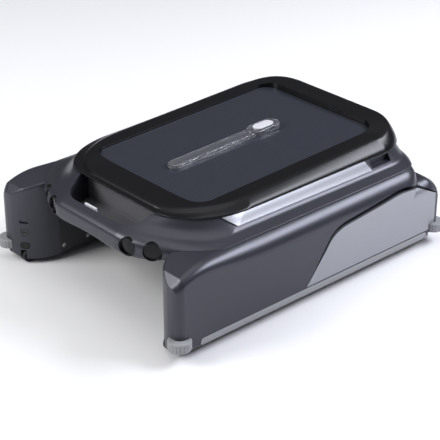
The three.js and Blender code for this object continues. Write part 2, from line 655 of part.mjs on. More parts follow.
const rearCornerSlot = (side) => block(
  side > 0 ? DECK_HALF - 33 : -DECK_HALF, side > 0 ? DECK_HALF : -(DECK_HALF - 33),
  DECK_REAR - 104, DECK_REAR - 62, FRAME_Z - 15, FRAME_Z - 4);
const leverFace = DECK_FRONT + BAR_DEPTH;
const leverStemH = LEVER_H / 2;
const leverSeat = block(
  LEVER_X - LEVER_W / 2, LEVER_X + LEVER_W / 2, leverFace - LEVER_TRAVEL - 2.5, leverFace + 5,
  LEVER_Z - 1, LEVER_Z + leverStemH + 1);
const deckShell = cut(
  deckOutside(), deckHollow, deckWindow,
  rod([0, DECK_FRONT - 10, archTop - archR], [0, GRIP_REAR, archTop - archR], archR, 160),
  standing(gripOutline(0), 60, 200, 5), pontoonClear, pontoonClearLeft,
  block(-innerX + 0.3, innerX - 0.3, noseY, GRIP_REAR + WALL + 2, 0, TRAY_Z + 3),
  rearCornerSlot(1), rearCornerSlot(-1), leverSeat,
  ...SENSORS.map((s) => rod(
    sensorPoint(s, -SENSOR_DEPTH - GAP), sensorPoint(s, 20), SENSOR_R + GAP, SIDES)));
add("deck_shell", deckShell, gunmetal);

for (const s of SENSORS) {
  const lens = turned(
    [[0, -SENSOR_DEPTH], [SENSOR_R, -SENSOR_DEPTH], [SENSOR_R, -1], [SENSOR_R - 1.5, -1],
      [SENSOR_R - 2.5, -4], [5, -3.2], [0, -2.8]],
    sensorPoint(s, 0), sensorAxis(s), SIDES);
  add(s.name, lens, lensBlack);
}

// Lining of the hand opening: a back wall and a floor, open at the front for the fingers.
const wellInside = standing(gripOutline(-GAP), 60, 200, 5);
const gripWell = join(
  block(-GRIP_REAR_HALF, GRIP_REAR_HALF, GRIP_REAR - WALL - GAP, GRIP_REAR - GAP, 116, FRAME_Z - 1),
  block(-GRIP_REAR_HALF, GRIP_REAR_HALF, DECK_FRONT + BAR_DEPTH + 18, GRIP_REAR - GAP, 116, 119),
).intersect(wellInside);
add("grip_well", gripWell, darkPlastic);

const releaseLever = join(
  block(
    LEVER_X - LEVER_W / 2 + 2, LEVER_X + LEVER_W / 2 - 2, leverFace - 2, leverFace + 5,
    LEVER_Z, LEVER_Z + leverStemH),
  block(
    LEVER_X - LEVER_W / 2, LEVER_X + LEVER_W / 2, leverFace + LEVER_TRAVEL + GAP, leverFace + 7,
    LEVER_Z, LEVER_Z + LEVER_H));
add("release_lever", releaseLever, palePlastic);

// Silver trim along the deck under each side of the frame.
const deckClear = deckOutside(GAP);
const deckClearLeft = solid(mirrored(geometryOf(deckClear)));
const trimBand = cut(deckOutside(2.3), deckClear, deckClearLeft).intersect(alongX(
  outline([
    [TRIM_FRONT + 17, FRAME_Z - 14], [TRIM_REAR + 8, FRAME_Z - 16], [TRIM_REAR, FRAME_Z - 1],
    [TRIM_FRONT, FRAME_Z - 1],
  ]), 100, WIDTH));
addPair("trim_strip", trimBand, silver);

// ---- electronics tray with the basket's rails ---------------------------------------
const trayHalf = innerX - 2;
const webX = BASKET_W / 2 + FLANGE + 3;
const RUNNER_T = 3;
const railTop = BASKET_TOP - RUNNER_T - PLAY;
const railRear = BASKET_REAR - 6;
const trayFloor = block(-trayHalf, trayHalf, GRIP_REAR + WALL + 2, DECK_REAR - 18, TRAY_Z, TRAY_Z + WALL);
const rails = join(
  block(webX, webX + RAIL_T, BASKET_FRONT, railRear, railTop - RAIL_T, TRAY_Z + 1),
  block(BASKET_W / 2 + 2, webX + RAIL_T, BASKET_FRONT, railRear, railTop - RAIL_T, railTop));
add("belly_tray", join(trayFloor, rails, solid(mirrored(geometryOf(rails)))), darkPlastic);

const trayTop = TRAY_Z + WALL + GAP;
const batteryPack = standing(roundedRect(-62, 62, -60, 96, 6), trayTop, trayTop + 34, 3);
add("battery_pack", batteryPack, batteryBlue);

const BOARD = { half: 45, front: 118, rear: 196, lift: 7, thick: 1.8 };
const boardTop = trayTop + BOARD.lift + BOARD.thick;
const boardPlate = block(
  -BOARD.half, BOARD.half, BOARD.front, BOARD.rear, trayTop + BOARD.lift, boardTop);
const standoffs = [-BOARD.half + 5, BOARD.half - 5].flatMap((x) => [BOARD.front + 5, BOARD.rear - 5].map(
  (y) => rod([x, y, trayTop], [x, y, trayTop + BOARD.lift + 1], 3, 8)));
const BOARD_BLOCKS = [
  { x: -20, y: 150, w: 18, l: 18, h: 2.5 },
  { x: 15, y: 140, w: 12, l: 16, h: 8 },
  { x: 22, y: 178, w: 26, l: 10, h: 11 },
];
const boardBlocks = BOARD_BLOCKS.map(({ x, y, w, l, h }) => block(
  x - w / 2, x + w / 2, y - l / 2, y + l / 2, boardTop - 1, boardTop + h));
add("control_board", join(boardPlate, ...standoffs, ...boardBlocks), boardGreen);

// ---- debris basket --------------------------------------------------------------------
const basketHalf = BASKET_W / 2;
const BASKET_BAYS = 3;
const BASKET_RIB = 12;
const bay = (BASKET_REAR - BASKET_FRONT - 2 * BASKET_RIB) / BASKET_BAYS;
const hingeY = BASKET_FRONT + 8;
const hingeZ = BASKET_TOP - 8;
const basketBox = cut(
  block(-basketHalf, basketHalf, BASKET_FRONT, BASKET_REAR, BASKET_FLOOR, BASKET_TOP),
  block(
    -basketHalf + WALL, basketHalf - WALL, BASKET_FRONT - 5, BASKET_REAR - WALL, BASKET_FLOOR + WALL, 200));
const runners = [
  block(basketHalf - 1, basketHalf + FLANGE, BASKET_FRONT, railRear, BASKET_TOP - RUNNER_T, BASKET_TOP),
  block(-basketHalf - FLANGE, 1 - basketHalf, BASKET_FRONT, railRear, BASKET_TOP - RUNNER_T, BASKET_TOP),
];
// Each bay has a window through both side walls and two in the floor.
function bayWindows(i) {
  const front = BASKET_FRONT + BASKET_RIB + 4 + i * bay;
  const rear = front + bay - BASKET_RIB;
  const inWalls = block(-WIDTH, WIDTH, front, rear, BASKET_FLOOR + 14, BASKET_TOP - 16);
  const inFloor = [1, -1].map((side) => {
    const middle = side * basketHalf / 2;
    const reach = basketHalf / 2 - BASKET_RIB;
    return block(middle - reach, middle + reach, front, rear, 0, BASKET_FLOOR + WALL + 1);
  });
  return [inWalls, ...inFloor];
}
const hingeHole = rod([-WIDTH, hingeY, hingeZ], [WIDTH, hingeY, hingeZ], GATE_PIN_R + GAP, 12);
const bays = Array.from({ length: BASKET_BAYS }, (_, i) => bayWindows(i)).flat();
add("basket_frame", cut(join(basketBox, ...runners), ...bays, hingeHole), darkPlastic);

const screenHalf = basketHalf - WALL - GAP;
const screenFront = BASKET_FRONT + 15;
const screenRear = BASKET_REAR - WALL - GAP;
const screenFloor = BASKET_FLOOR + WALL + GAP;
const screen = cut(
  block(-screenHalf, screenHalf, screenFront, screenRear, screenFloor, BASKET_TOP - 8),
  block(
    -screenHalf + SCREEN_T, screenHalf - SCREEN_T, screenFront - 5, screenRear - SCREEN_T,
    screenFloor + SCREEN_T, 200));
add("filter_screen", screen, meshGrey);

const gripZ = 60;
const basketHandle = cut(
  alongX(roundedRect(BASKET_REAR + GAP, BASKET_REAR + 22, gripZ - 14, gripZ + 14, 8), -60, 60),
  block(-52, 52, BASKET_REAR - 1, BASKET_REAR + 17, gripZ - 30, gripZ + 8));
add("basket_handle", basketHandle, darkPlastic);

const pinHalf = basketHalf - 0.5;
const gatePin = rod([-pinHalf, hingeY, hingeZ], [pinHalf, hingeY, hingeZ], GATE_PIN_R, 12);
add("gate_pin", gatePin, steel);
const gateHalf = screenHalf - SCREEN_T - 2;
const gate = cut(
  join(
    rod([-gateHalf, hingeY, hingeZ], [gateHalf, hingeY, hingeZ], 5, 16),
    block(-gateHalf, gateHalf, hingeY - 1, hingeY + 1, BASKET_FLOOR + WALL + 5, hingeZ)),
  rod([-WIDTH, hingeY, hingeZ], [WIDTH, hingeY, hingeZ], GATE_PIN_R + PLAY / 2, 12));
add("intake_gate", gate, darkPlastic);

// ---- solar frame and what it carries -------------------------------------------------
function rimTop(y) {
  const flat = panelTop(Math.max(y, PANEL_FRONT)) + RIM;
  const lift = REAR_LIP * blend(y, PANEL_REAR - 20, FRAME_REAR - 12);
  const dip = FRONT_DIP * blend(-y, -PANEL_FRONT, -FRAME_FRONT);
  return flat + lift - dip;
}
function frameOutside() {
  const tier = (inset, height) => levelRing({
    half: FRAME_W / 2 - inset,
    front: FRAME_FRONT + inset * 0.6,
    rear: FRAME_REAR - inset * 0.5,
    frontCorner: [80, 110],
    rearCorner: [68, 68],
    height,
  });
  return loft([
    tier(FRAME_SKIRT + 2, (x, y) => rimTop(y)),
    tier(FRAME_SKIRT - 3, (x, y) => rimTop(y) - 0.6),
    tier(FRAME_SKIRT - 8, (x, y) => rimTop(y) - 3.2),
    tier(4, (x, y) => FRAME_Z + (rimTop(y) - FRAME_Z) * 0.4),
    tier(0.6, () => FRAME_Z + 2),
    tier(0, () => FRAME_Z),
  ]);
}

// Parts that lie in the panel's tilted plane share this tilted group.
const tilted = new THREE.Group();
tilted.position.set(0, 0, panelTop(0));
tilted.rotation.x = panelTilt;
group.add(tilted);
tilted.updateMatrix();
const lean = (y) => y / Math.cos(panelTilt);

function onPanel(body) {
  const geometry = geometryOf(body);
  geometry.applyMatrix4(tilted.matrix);
  return solid(geometry);
}

const panelOutline = (grow) => roundedRect(
  -PANEL_W / 2 - grow, PANEL_W / 2 + grow,
  lean(PANEL_FRONT) - grow, lean(PANEL_REAR) + grow, PANEL_R + grow);
const solarFrame = cut(
  frameOutside(),
  onPanel(standing(panelOutline(GAP), -PANEL_T - GASKET_T - 2 * GAP, 60, 6)),
  onPanel(standing(panelOutline(-LEDGE), -60, 60, 6)));
add("solar_frame", solarFrame, glossBlack);

const panel = standing(panelOutline(0), -PANEL_T, 0, 6);
add("solar_panel", panel, solarCell, tilted);
const gasket = standing(panelOutline(-0.5), -PANEL_T - GASKET_T - GAP, -PANEL_T - GAP, 6)
  .subtract(standing(panelOutline(-LEDGE + 1), -60, 60, 6));
add("panel_gasket", gasket, blackRubber, tilted);

function stadium(halfWidth, front, rear) {
  return roundedRect(-halfWidth, halfWidth, front, rear, halfWidth - 0.05);
}
const housingFront = GUIDE_REAR - HOUSING_L;
const buttonMiddle = (housingFront + GUIDE_REAR) / 2;
const buttonFront = buttonMiddle - BUTTON_L / 2;
const buttonRear = buttonMiddle + BUTTON_L / 2;
const lightGuide = cut(
  join(
    standing(stadium(GUIDE_W / 2, GUIDE_FRONT, GUIDE_REAR - 12), GAP, GUIDE_H),
    standing(stadium(HOUSING_W / 2, housingFront, GUIDE_REAR), GAP, GUIDE_H + 2)),
  standing(stadium(BUTTON_W / 2 + PLAY / 2, buttonFront - PLAY / 2, buttonRear + PLAY / 2), 2, 60));
add("light_guide", lightGuide, clearPlastic, tilted);
const buttonFoot = 2 + BUTTON_TRAVEL + 0.5;
const buttonTop = GUIDE_H + 3.4;
const powerButton = standing(stadium(BUTTON_W / 2, buttonFront, buttonRear), buttonFoot, buttonTop);
add("power_button", powerButton, palePlastic, tilted);

export default group;
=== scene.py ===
# A solar-powered skimmer for the surface of a swimming pool: two floating pontoons carry
# a deck with a solar panel, and a debris basket slides in the channel between them.
# The front, with the handle bar, faces -Y, and the right pontoon is at +X.
import json
import math

import bmesh
import bpy
from mathutils import Matrix, Vector


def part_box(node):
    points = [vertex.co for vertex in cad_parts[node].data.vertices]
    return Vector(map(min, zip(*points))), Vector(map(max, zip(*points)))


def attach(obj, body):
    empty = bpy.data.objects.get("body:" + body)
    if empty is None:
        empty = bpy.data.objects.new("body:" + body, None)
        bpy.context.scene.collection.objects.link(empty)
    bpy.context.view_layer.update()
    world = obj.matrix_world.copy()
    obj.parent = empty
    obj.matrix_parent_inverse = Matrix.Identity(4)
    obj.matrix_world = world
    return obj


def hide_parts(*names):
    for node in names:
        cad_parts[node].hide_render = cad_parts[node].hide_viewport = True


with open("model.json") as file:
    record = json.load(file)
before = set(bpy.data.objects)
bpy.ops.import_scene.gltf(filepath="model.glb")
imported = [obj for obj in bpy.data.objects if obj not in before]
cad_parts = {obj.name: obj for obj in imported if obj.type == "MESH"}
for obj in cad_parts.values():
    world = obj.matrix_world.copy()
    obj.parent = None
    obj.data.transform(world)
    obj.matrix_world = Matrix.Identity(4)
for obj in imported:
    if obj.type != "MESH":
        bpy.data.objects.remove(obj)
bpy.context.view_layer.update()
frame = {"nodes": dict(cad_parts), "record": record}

# ---- Pontoon shells -------------------------------------------------------------------
# The two floats are hollow injection mouldings in ABS with a metallic pigment. Each has
# a round inner nose, a soft shoulder that grows towards the stern, and a low rear block.
MM = 0.001


def to_mm(point):
    return Vector(point) / MM


SHELL_LOW, SHELL_HIGH = map(to_mm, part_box("right_pontoon_shell"))
INNER_X, NOSE_Y, HULL_Z = SHELL_LOW
SIDE_X, TAIL_Y, SHOULDER_Z = SHELL_HIGH
NOSE_W, NOSE_L = 52, 62
CORNER_R = 12
SHOULDER_R = 30
SHOULDER_REAR = TAIL_Y - 34
BLOCK_Z, TAIL_CREST = 114, 101
WALL = 3
GAP = 0.3
PANEL_SKIN = 4
ARC_STEPS = 8


def object_from(name, bm):
    """A piece in metres from a bmesh drawn in millimetres."""
    bm.transform(Matrix.Scale(MM, 4))
    bmesh.ops.recalc_face_normals(bm, faces=bm.faces)
    mesh = bpy.data.meshes.new(name)
    bm.to_mesh(mesh)
    bm.free()
    piece = bpy.data.objects.new(name, mesh)
    bpy.context.scene.collection.objects.link(piece)
    return piece


def loft(name, rings):
    """A closed skin through rings that all have the same number of points."""
    bm = bmesh.new()
    rows = [[bm.verts.new(point) for point in ring] for ring in rings]
    for row, following in zip(rows, rows[1:]):
        for i in range(len(row)):
            j = (i + 1) % len(row)
            bm.faces.new((row[i], row[j], following[j], following[i]))
    for row in (rows[0], rows[-1]):
        centre = bm.verts.new(sum((v.co for v in row), Vector()) / len(row))
        for i in range(len(row)):
            bm.faces.new((row[i], row[(i + 1) % len(row)], centre))
    return object_from(name, bm)


def prism(name, outline, axis, low, high):
    """An outline drawn out along x, y or z; its pairs are (y, z), (x, z) or (x, y)."""
    place = {
        "x": lambda a, b, depth: (depth, a, b),
        "y": lambda a, b, depth: (a, depth, b),
        "z": lambda a, b, depth: (a, b, depth),
    }[axis]
    bm = bmesh.new()
    near = [bm.verts.new(place(a, b, low)) for a, b in outline]
    far = [bm.verts.new(place(a, b, high)) for a, b in outline]
    bm.faces.new(near)
    bm.faces.new(far)
    for i in range(len(near)):
        j = (i + 1) % len(near)
        bm.faces.new((near[i], near[j], far[j], far[i]))
    return object_from(name, bm)


def block(x0, x1, y0, y1, z0, z1):
    return prism("block", [(x0, y0), (x1, y0), (x1, y1), (x0, y1)], "z", z0, z1)


def rounded(corners, steps=ARC_STEPS):
    """Points of an outline whose corners, each (a, b, radius), are drawn as arcs."""
    points = []
    for i, (a, b, radius) in enumerate(corners):
        here = Vector((a, b))
        back = Vector(corners[i - 1][:2]) - here
        ahead = Vector(corners[(i + 1) % len(corners)][:2]) - here
        half = back.angle(ahead) / 2
        reach = min(radius / math.tan(half), 0.49 * back.length, 0.49 * ahead.length)
        start = here + back.normalized() * reach
        end = here + ahead.normalized() * reach
        for k in range(steps + 1):
            t = k / steps
            first, middle, last = (1 - t) ** 2, 2 * t * (1 - t) * math.sin(half), t ** 2
            points.append((start * first + here * middle + end * last) / (first + middle + last))
    return points


def round_rect(a0, a1, b0, b1, radius, steps=ARC_STEPS):
    return rounded([(a0, b0, radius), (a1, b0, radius), (a1, b1, radius), (a0, b1, radius)], steps)


def circle(a, b, radius, sides=48):
    turns = [2 * math.pi * i / sides for i in range(sides)]
    return [(a + radius * math.cos(t), b + radius * math.sin(t)) for t in turns]


def settle(piece):
    """Turn the modifiers of a piece into its final mesh."""
    graph = bpy.context.evaluated_depsgraph_get()
    mesh = bpy.data.meshes.new_from_object(piece.evaluated_get(graph))
    piece.modifiers.clear()
    piece.data = mesh
    return piece


def combine(piece, tools, how="DIFFERENCE"):
    """Cut the tools out of a piece, join them to it, or keep what they share."""
    for tool in tools:
        step = piece.modifiers.new("combine", "BOOLEAN")
        step.operation = how
        step.solver = "EXACT"
        step.object = tool
        settle(piece)
        bpy.data.objects.remove(tool)
    return piece


def soften(piece, width, crease=32):
    """Round the creases as a mould does, and shade the faces between them smooth."""
    rounding = piece.modifiers.new("rounding", "BEVEL")
    rounding.width = width * MM
    rounding.segments = 2
    rounding.limit_method = "ANGLE"
    rounding.angle_limit = math.radians(crease)
    settle(piece)
    piece.data.polygons.foreach_set("use_smooth", [True] * len(piece.data.polygons))
    piece.data.set_sharp_from_angle(angle=math.radians(crease + 12))
    weighting = piece.modifiers.new("weighting", "WEIGHTED_NORMAL")
    weighting.keep_sharp = True
    return settle(piece)


def mirrored(piece, name):
    """The left-hand copy of a right-hand piece."""
    copy = piece.copy()
    copy.name = name
    copy.data = piece.data.copy()
    copy.data.transform(Matrix.Scale(-1, 4, (1, 0, 0)))
    copy.data.flip_normals()
    bpy.context.scene.collection.objects.link(copy)
    return copy


def corner_pull(distance, along, across):
    """How far a round corner stands back from its side, at a distance from its end."""
    if distance >= along:
        return 0
    return across * (1 - math.sqrt(max(0, 1 - (1 - distance / along) ** 2)))


def ease(value, low, high):
    t = min(1, max(0, (value - low) / (high - low)))
    return t * t * (3 - 2 * t)


def arc_stations(end, radius, inward, steps=10):
    turns = [math.pi / 2 * i / steps for i in range(steps + 1)]
    return [end + inward * radius * (1 - math.cos(turn)) for turn in turns]


def spread(stations, least=0.25):
    """Stations in order, without any that crowds the one before it."""
    kept = []
    for y in sorted(stations):
        if not kept or y - kept[-1] >= least:
            kept.append(y)
    return kept


def crest(y):
    """Height of the shell's top: a short steep facet at the nose, then a gentle rise, and
    a fall towards the tail."""
    along = max(0, y - NOSE_Y)
    facet = 11
    nose = BLOCK_Z + 13 * along / facet
    if along > facet:
        nose = SHOULDER_Z - 11 * (1 - min(1, (along - facet) / 51)) ** 2
    fall = (y - SHOULDER_REAR + 8) / 12
    tail = SHOULDER_Z - 17 * max(0, fall)
    if fall > 1:
        tail = TAIL_CREST + 20 * (TAIL_Y - y) / (TAIL_Y - SHOULDER_REAR - 4)
    return min(nose, tail)


def pontoon_body(grow=0, shift=0):
    """The outside of the right pontoon, grown by a clearance or moved inwards."""
    inner, side, front = INNER_X - grow - shift, SIDE_X + grow - shift, NOSE_Y - grow
    rear_upper, rear_lower = SHOULDER_REAR + grow, TAIL_Y + grow
    rear_r, block_r = 36, 8

    def ring(y, rear, corner, top, shoulder, slope):
        x0 = inner + corner_pull(y - front, NOSE_L, NOSE_W)
        x1 = (side - corner_pull(y - front, CORNER_R, CORNER_R)
              - corner_pull(rear - y, corner, corner))
        floor = HULL_Z - grow + 6 * (1 - ease(y, front, front + 8))
        outline = rounded([
            (x0, floor, 2), (x1 - 7, floor, 5), (x1, floor + 8, 6),
            (x1, top - slope + grow, shoulder), (x0, top + grow, 4)])
        return [(x, y, z) for x, z in outline]

    ahead = arc_stations(front, NOSE_L, 1, 18) + arc_stations(front, CORNER_R, 1)
    along = [front + NOSE_L + 12 * i for i in range(1, 38)]
    upper = spread(ahead + [y for y in along if y < rear_upper - rear_r]
                   + arc_stations(rear_upper, rear_r, -1, 14))
    lower = [150, 206] + [SHOULDER_REAR + 4 * i for i in range(-2, 7)]
    lower = spread(lower + arc_stations(rear_lower, block_r, -1))
    body = loft("pontoon", [
        ring(y, rear_upper, rear_r, crest(y), 12 + 18 * ease(y, NOSE_Y, -100), 0)
        for y in upper])
    low = loft("rear_block", [
        ring(y, rear_lower, block_r, min(BLOCK_Z, crest(y)), SHOULDER_R - 8, 3) for y in lower])
    return combine(body, [low], "UNION")


def bezier(start, control, end, steps=12):
    a, b, c = map(Vector, (start, control, end))
    places = [i / steps for i in range(steps + 1)]
    return [a * (1 - t) ** 2 + b * 2 * t * (1 - t) + c * t ** 2 for t in places]


BUMPER_Z = to_mm(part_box("right_bumper_strip")[0]).z
BUMPER_TOP = to_mm(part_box("right_bumper_strip")[1]).z
RECESS_BAND, GROOVE_DEPTH = 8, 12


def side_outline(grow, above):
    """Side outline (y, z) of the silver panel, or of the pocket that it sits in."""
    foot = BUMPER_TOP + 2 - grow
    rear = SHOULDER_REAR + 24 + grow
    edge = [(-24 - grow, foot), (14 - grow, 73.3 + above)]
    edge += bezier((22 - grow, 84 + above), (34 - grow, 99 + above), (62, 101 + above))
    edge += bezier((150, 109 + above), (198, 117 + above), (SHOULDER_REAR, 99 + 0.5 * above))
    return edge + [(rear, 87 + 0.25 * above), (rear, foot)]


def screw_places():
    for y in (NOSE_Y + NOSE_L + 3, NOSE_Y + NOSE_L + 49):
        yield y, HULL_Z + 14


def cover_outline(grow):
    """Side outline of the plate that closes the pontoon towards the channel."""
    front, rear = NOSE_Y + NOSE_L - 3 - grow, TAIL_Y - WALL - 2 + grow
    step = SHOULDER_REAR - 17 + grow
    foot, low, high = HULL_Z + WALL - grow, BLOCK_Z - 17 + grow, SHOULDER_Z - WALL + grow
    return [(front, foot), (rear, foot), (rear, low), (step, low), (step, high),
            (front + 26, high), (front, high - 8)]


def side_pocket():
    tool = prism("pocket", side_outline(GAP, RECESS_BAND), "x", INNER_X + 20, SIDE_X + 20)
    return combine(tool, [pontoon_body(0, PANEL_SKIN + GAP)])


def shadow_groove():
    """The deeper groove along the panel's upper edge: what lies between two outlines."""
    outer = side_outline(GAP - 0.05, RECESS_BAND - 0.1)
    inner = side_outline(GAP + 0.5, -0.8)
    band = outer[1:-1] + inner[-2:0:-1]
    return prism("groove", band, "x", SIDE_X - GROOVE_DEPTH, SIDE_X + 19)


ROLLER_LOW, ROLLER_HIGH = map(to_mm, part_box("right_front_roller"))
ROLLER_X = (ROLLER_LOW.x + ROLLER_HIGH.x) / 2
ROLLER_Y = -(ROLLER_LOW.y + ROLLER_HIGH.y) / 2
ROLLER_R = (ROLLER_HIGH.x - ROLLER_LOW.x) / 2
ROLLER_CLEARANCE, ROLLER_HEADROOM = 2.5, 0.6
WHEEL_LOW, WHEEL_HIGH = map(to_mm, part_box("right_nose_wheel"))
DUCT_LOW, DUCT_HIGH = map(to_mm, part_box("right_thruster_duct"))
DUCT_X = (DUCT_LOW.x + DUCT_HIGH.x) / 2
DUCT_R = (DUCT_HIGH.x - DUCT_LOW.x) / 2
DUCT_Z = DUCT_HIGH.z - DUCT_R
BUMPER_FRONT = to_mm(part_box("right_bumper_strip")[0]).y
BUMPER_REAR = to_mm(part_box("right_bumper_strip")[1]).y


def roller_room(y, sides):
    """The round pocket that a roller turns in, open below."""
    return prism("roller_room", circle(ROLLER_X, y, ROLLER_R + ROLLER_CLEARANCE, sides),
                 "z", -1, ROLLER_HIGH.z + ROLLER_HEADROOM)


pontoon = pontoon_body()
cavity_side = SIDE_X - GROOVE_DEPTH - WALL
cavity_front = NOSE_Y + NOSE_L + 0.7
combine(pontoon, [
    block(INNER_X - 1, cavity_side, cavity_front, TAIL_Y - 8.6, HULL_Z + WALL, BLOCK_Z - 20),
    block(INNER_X - 2, SIDE_X - SHOULDER_R - 0.4, cavity_front + 0.6, SHOULDER_REAR - 20,
          BLOCK_Z - 50, SHOULDER_Z - WALL - 1.6),
    prism("cover_seat", cover_outline(GAP), "x", INNER_X - 1, INNER_X + WALL + GAP),
    side_pocket(),
    shadow_groove(),
    prism("bumper_seat", round_rect(
        BUMPER_FRONT - GAP, BUMPER_REAR + GAP, BUMPER_Z - GAP, BUMPER_TOP + GAP, 5),
        "x", SIDE_X - 3, SIDE_X + 5),
    roller_room(-ROLLER_Y, 54),
    roller_room(ROLLER_Y, 54),
    block(WHEEL_LOW.x - 1, WHEEL_HIGH.x + 1, WHEEL_LOW.y - 1.5, WHEEL_HIGH.y + 1.5, 0, 23),
    prism("outlet", circle(DUCT_X, DUCT_Z, DUCT_R + GAP), "y", TAIL_Y - 20, TAIL_Y + 5),
    block(DUCT_X - 13, DUCT_X + 13, DUCT_LOW.y + 20, DUCT_LOW.y + 60, 0, DUCT_Z - DUCT_R + 8),
])

# Service marks on the left nose only: a slot, a drain plug and a charging flap, all set
# square to the round inner corner.
NOSE_BEARING = math.radians(37)
nose_normal = Vector((math.sin(NOSE_BEARING), -math.cos(NOSE_BEARING), 0))
nose_tangent = Vector((math.cos(NOSE_BEARING), math.sin(NOSE_BEARING), 0))


def on_left_nose(piece, z):
    """Move a piece drawn flat, its front at z = 0, onto the left nose at a height."""
    reach = math.hypot(NOSE_W * nose_normal.x, NOSE_L * nose_normal.y)
    centre = Vector((-(INNER_X + NOSE_W), NOSE_Y + NOSE_L, z))
    centre += Vector((NOSE_W ** 2 * nose_normal.x, NOSE_L ** 2 * nose_normal.y, 0)) / reach
    turn = Matrix((nose_tangent, (0, 0, 1), nose_normal)).transposed().to_4x4()
    piece.data.transform(Matrix.Translation(centre * MM) @ turn)
    return piece


SLOT_Z, PLUG_Z, FLAP_Z = 71, 54, 31
left_pontoon = mirrored(pontoon, "left_pontoon")
combine(left_pontoon, [
    on_left_nose(prism("slot", round_rect(-7, 7, -2.5, 2.5, 1), "z", -3, 5), SLOT_Z),
    on_left_nose(prism("plug_seat", circle(0, 0, 6.8), "z", -5, 5), PLUG_Z),
    on_left_nose(prism("flap_seat", round_rect(-8.1, 8.1, -5.6, 5.6, 5.5), "z", -3.1, 5), FLAP_Z),
])


def linear(hex_colour):
    """An sRGB hex colour as linear red, green, blue and alpha."""
    parts = [int(hex_colour[i:i + 2], 16) / 255 for i in (1, 3, 5)]
    return [p / 12.92 if p <= 0.04045 else ((p + 0.055) / 1.055) ** 2.4 for p in parts] + [1]


def add_node(tree, kind, settings=(), links=()):
    """Add one node, with its properties and inputs set and its inputs linked."""
    node = tree.nodes.new("ShaderNode" + kind)
    for name, value in dict(settings).items():
        if isinstance(name, int) or name in node.inputs:
            node.inputs[name].default_value = value
        else:
            setattr(node, name, value)
    for name, output in dict(links).items():
        tree.links.new(output, node.inputs[name])
    return node


def start_material(name, **surface):
    """A material with its shader's own sockets set; returns it, its tree and its shader."""
    material = bpy.data.materials.new(name)
    material.use_nodes = True
    tree = material.node_tree
    shader = tree.nodes["Principled BSDF"]
    for socket, value in surface.items():
        shader.inputs[socket.replace("_", " ")].default_value = value
    return material, tree, shader


def grain(tree, shader, size, height, shades, roughness, stretch=(1, 1, 1)):
    """Break up a moulded surface: a colour drift, a roughness range and a fine bump.
    size and height are in millimetres, and stretch lengthens the grain along an axis."""
    place = add_node(tree, "TexCoord")
    scaled = add_node(tree, "Mapping", {"Scale": [1 / s for s in stretch]},
                      {"Vector": place.outputs["Object"]})
    fine = add_node(tree, "TexNoise", {"Scale": 1 / (size * MM), "Detail": 3, "Roughness": 0.6},
                    {"Vector": scaled.outputs["Vector"]})
    broad = add_node(tree, "TexNoise", {"Scale": 1 / (45 * MM), "Detail": 2},
                     {"Vector": place.outputs["Object"]})
    tone = add_node(tree, "Mix", {"data_type": "RGBA", 6: linear(shades[0]), 7: linear(shades[1])},
                    {0: fine.outputs["Fac"]})
    tree.links.new(tone.outputs[2], shader.inputs["Base Color"])
    sheen = add_node(tree, "MapRange", {"To Min": roughness[0], "To Max": roughness[1]},
                     {"Value": broad.outputs["Fac"]})
    tree.links.new(sheen.outputs["Result"], shader.inputs["Roughness"])
    bump = add_node(tree, "Bump", {"Strength": 0.6, "Distance": height * MM},
                    {"Height": fine.outputs["Fac"]})
    tree.links.new(bump.outputs["Normal"], shader.inputs["Normal"])


# ABS moulded with metallic pigment: a satin gunmetal with soft wide highlights and the
# faint sparkle of its flakes.
gunmetal_abs, tree, shader = start_material(
    "gunmetal_moulded_abs", Metallic=0.35, IOR=1.53)
grain(tree, shader, 0.5, 0.004, ("#36373f", "#3e3f48"), (0.28, 0.34))


def finish_piece(piece, name, material, body, slot, *nodes):
    """Name and dress a piece, make it ride on its body and stand for its CAD nodes."""
    piece.name = name
    piece.data.materials.clear()
    piece.data.materials.append(material)
    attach(piece, body)
    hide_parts(*nodes)
    return piece


for shell, side in ((pontoon, "right"), (left_pontoon, "left")):
    soften(shell, 0.7)
    finish_piece(shell, side + "_pontoon", gunmetal_abs, "hull", "gunmetal_shell",
                 side + "_pontoon_shell")

# ---- Channel covers and their screws --------------------------------------------------
# A flat ABS plate, moulded with a fine spark texture, closes each pontoon on the channel
# side. Two pan-head stainless screws with a cross recess hold its front end.
# Spark-eroded ABS: an even dark grey with a dry, slightly pebbled sheen.
textured_abs, tree, shader = start_material("spark_textured_abs", IOR=1.53)
grain(tree, shader, 0.8, 0.03, ("#26262a", "#303034"), (0.42, 0.55))

# Turned stainless steel: a bright grey metal with faint rings from the tool.
turned_steel, tree, shader = start_material("turned_stainless_steel", Metallic=1.0)
grain(tree, shader, 0.3, 0.003, ("#b4b6ba", "#c6c8cb"), (0.22, 0.34), (1, 1, 6))


def refined(node, width):
    """A copy of a plain CAD node with its flat facets merged and its edges rounded."""
    source = frame["nodes"][node]
    bm = bmesh.new()
    bm.from_mesh(source.data)
    bmesh.ops.remove_doubles(bm, verts=bm.verts, dist=0.01 * MM)
    bmesh.ops.dissolve_limit(bm, angle_limit=math.radians(1), verts=bm.verts, edges=bm.edges)
    bm.transform(Matrix.Scale(1 / MM, 4))
    return soften(object_from(node + "_finished", bm), width)


SLOT_OF = {row["node"]: row["material_slot"] for row in frame["record"]["subparts"]}
BODY_OF = {
    node: body
    for body, nodes in frame["record"]["behaviour"]["bodies"].items() for node in nodes}


def refine(node, width, material):
    return finish_piece(refined(node, width), node + "_finished", material,
                        BODY_OF[node], SLOT_OF[node], node)


def turned(name, profile, sides=40):
    """A round part from (radius, height) pairs about z, from its lower end up."""
    return loft(name, [[(x, y, height) for x, y in circle(0, 0, max(radius, 0.01), sides)]
                       for radius, height in profile])


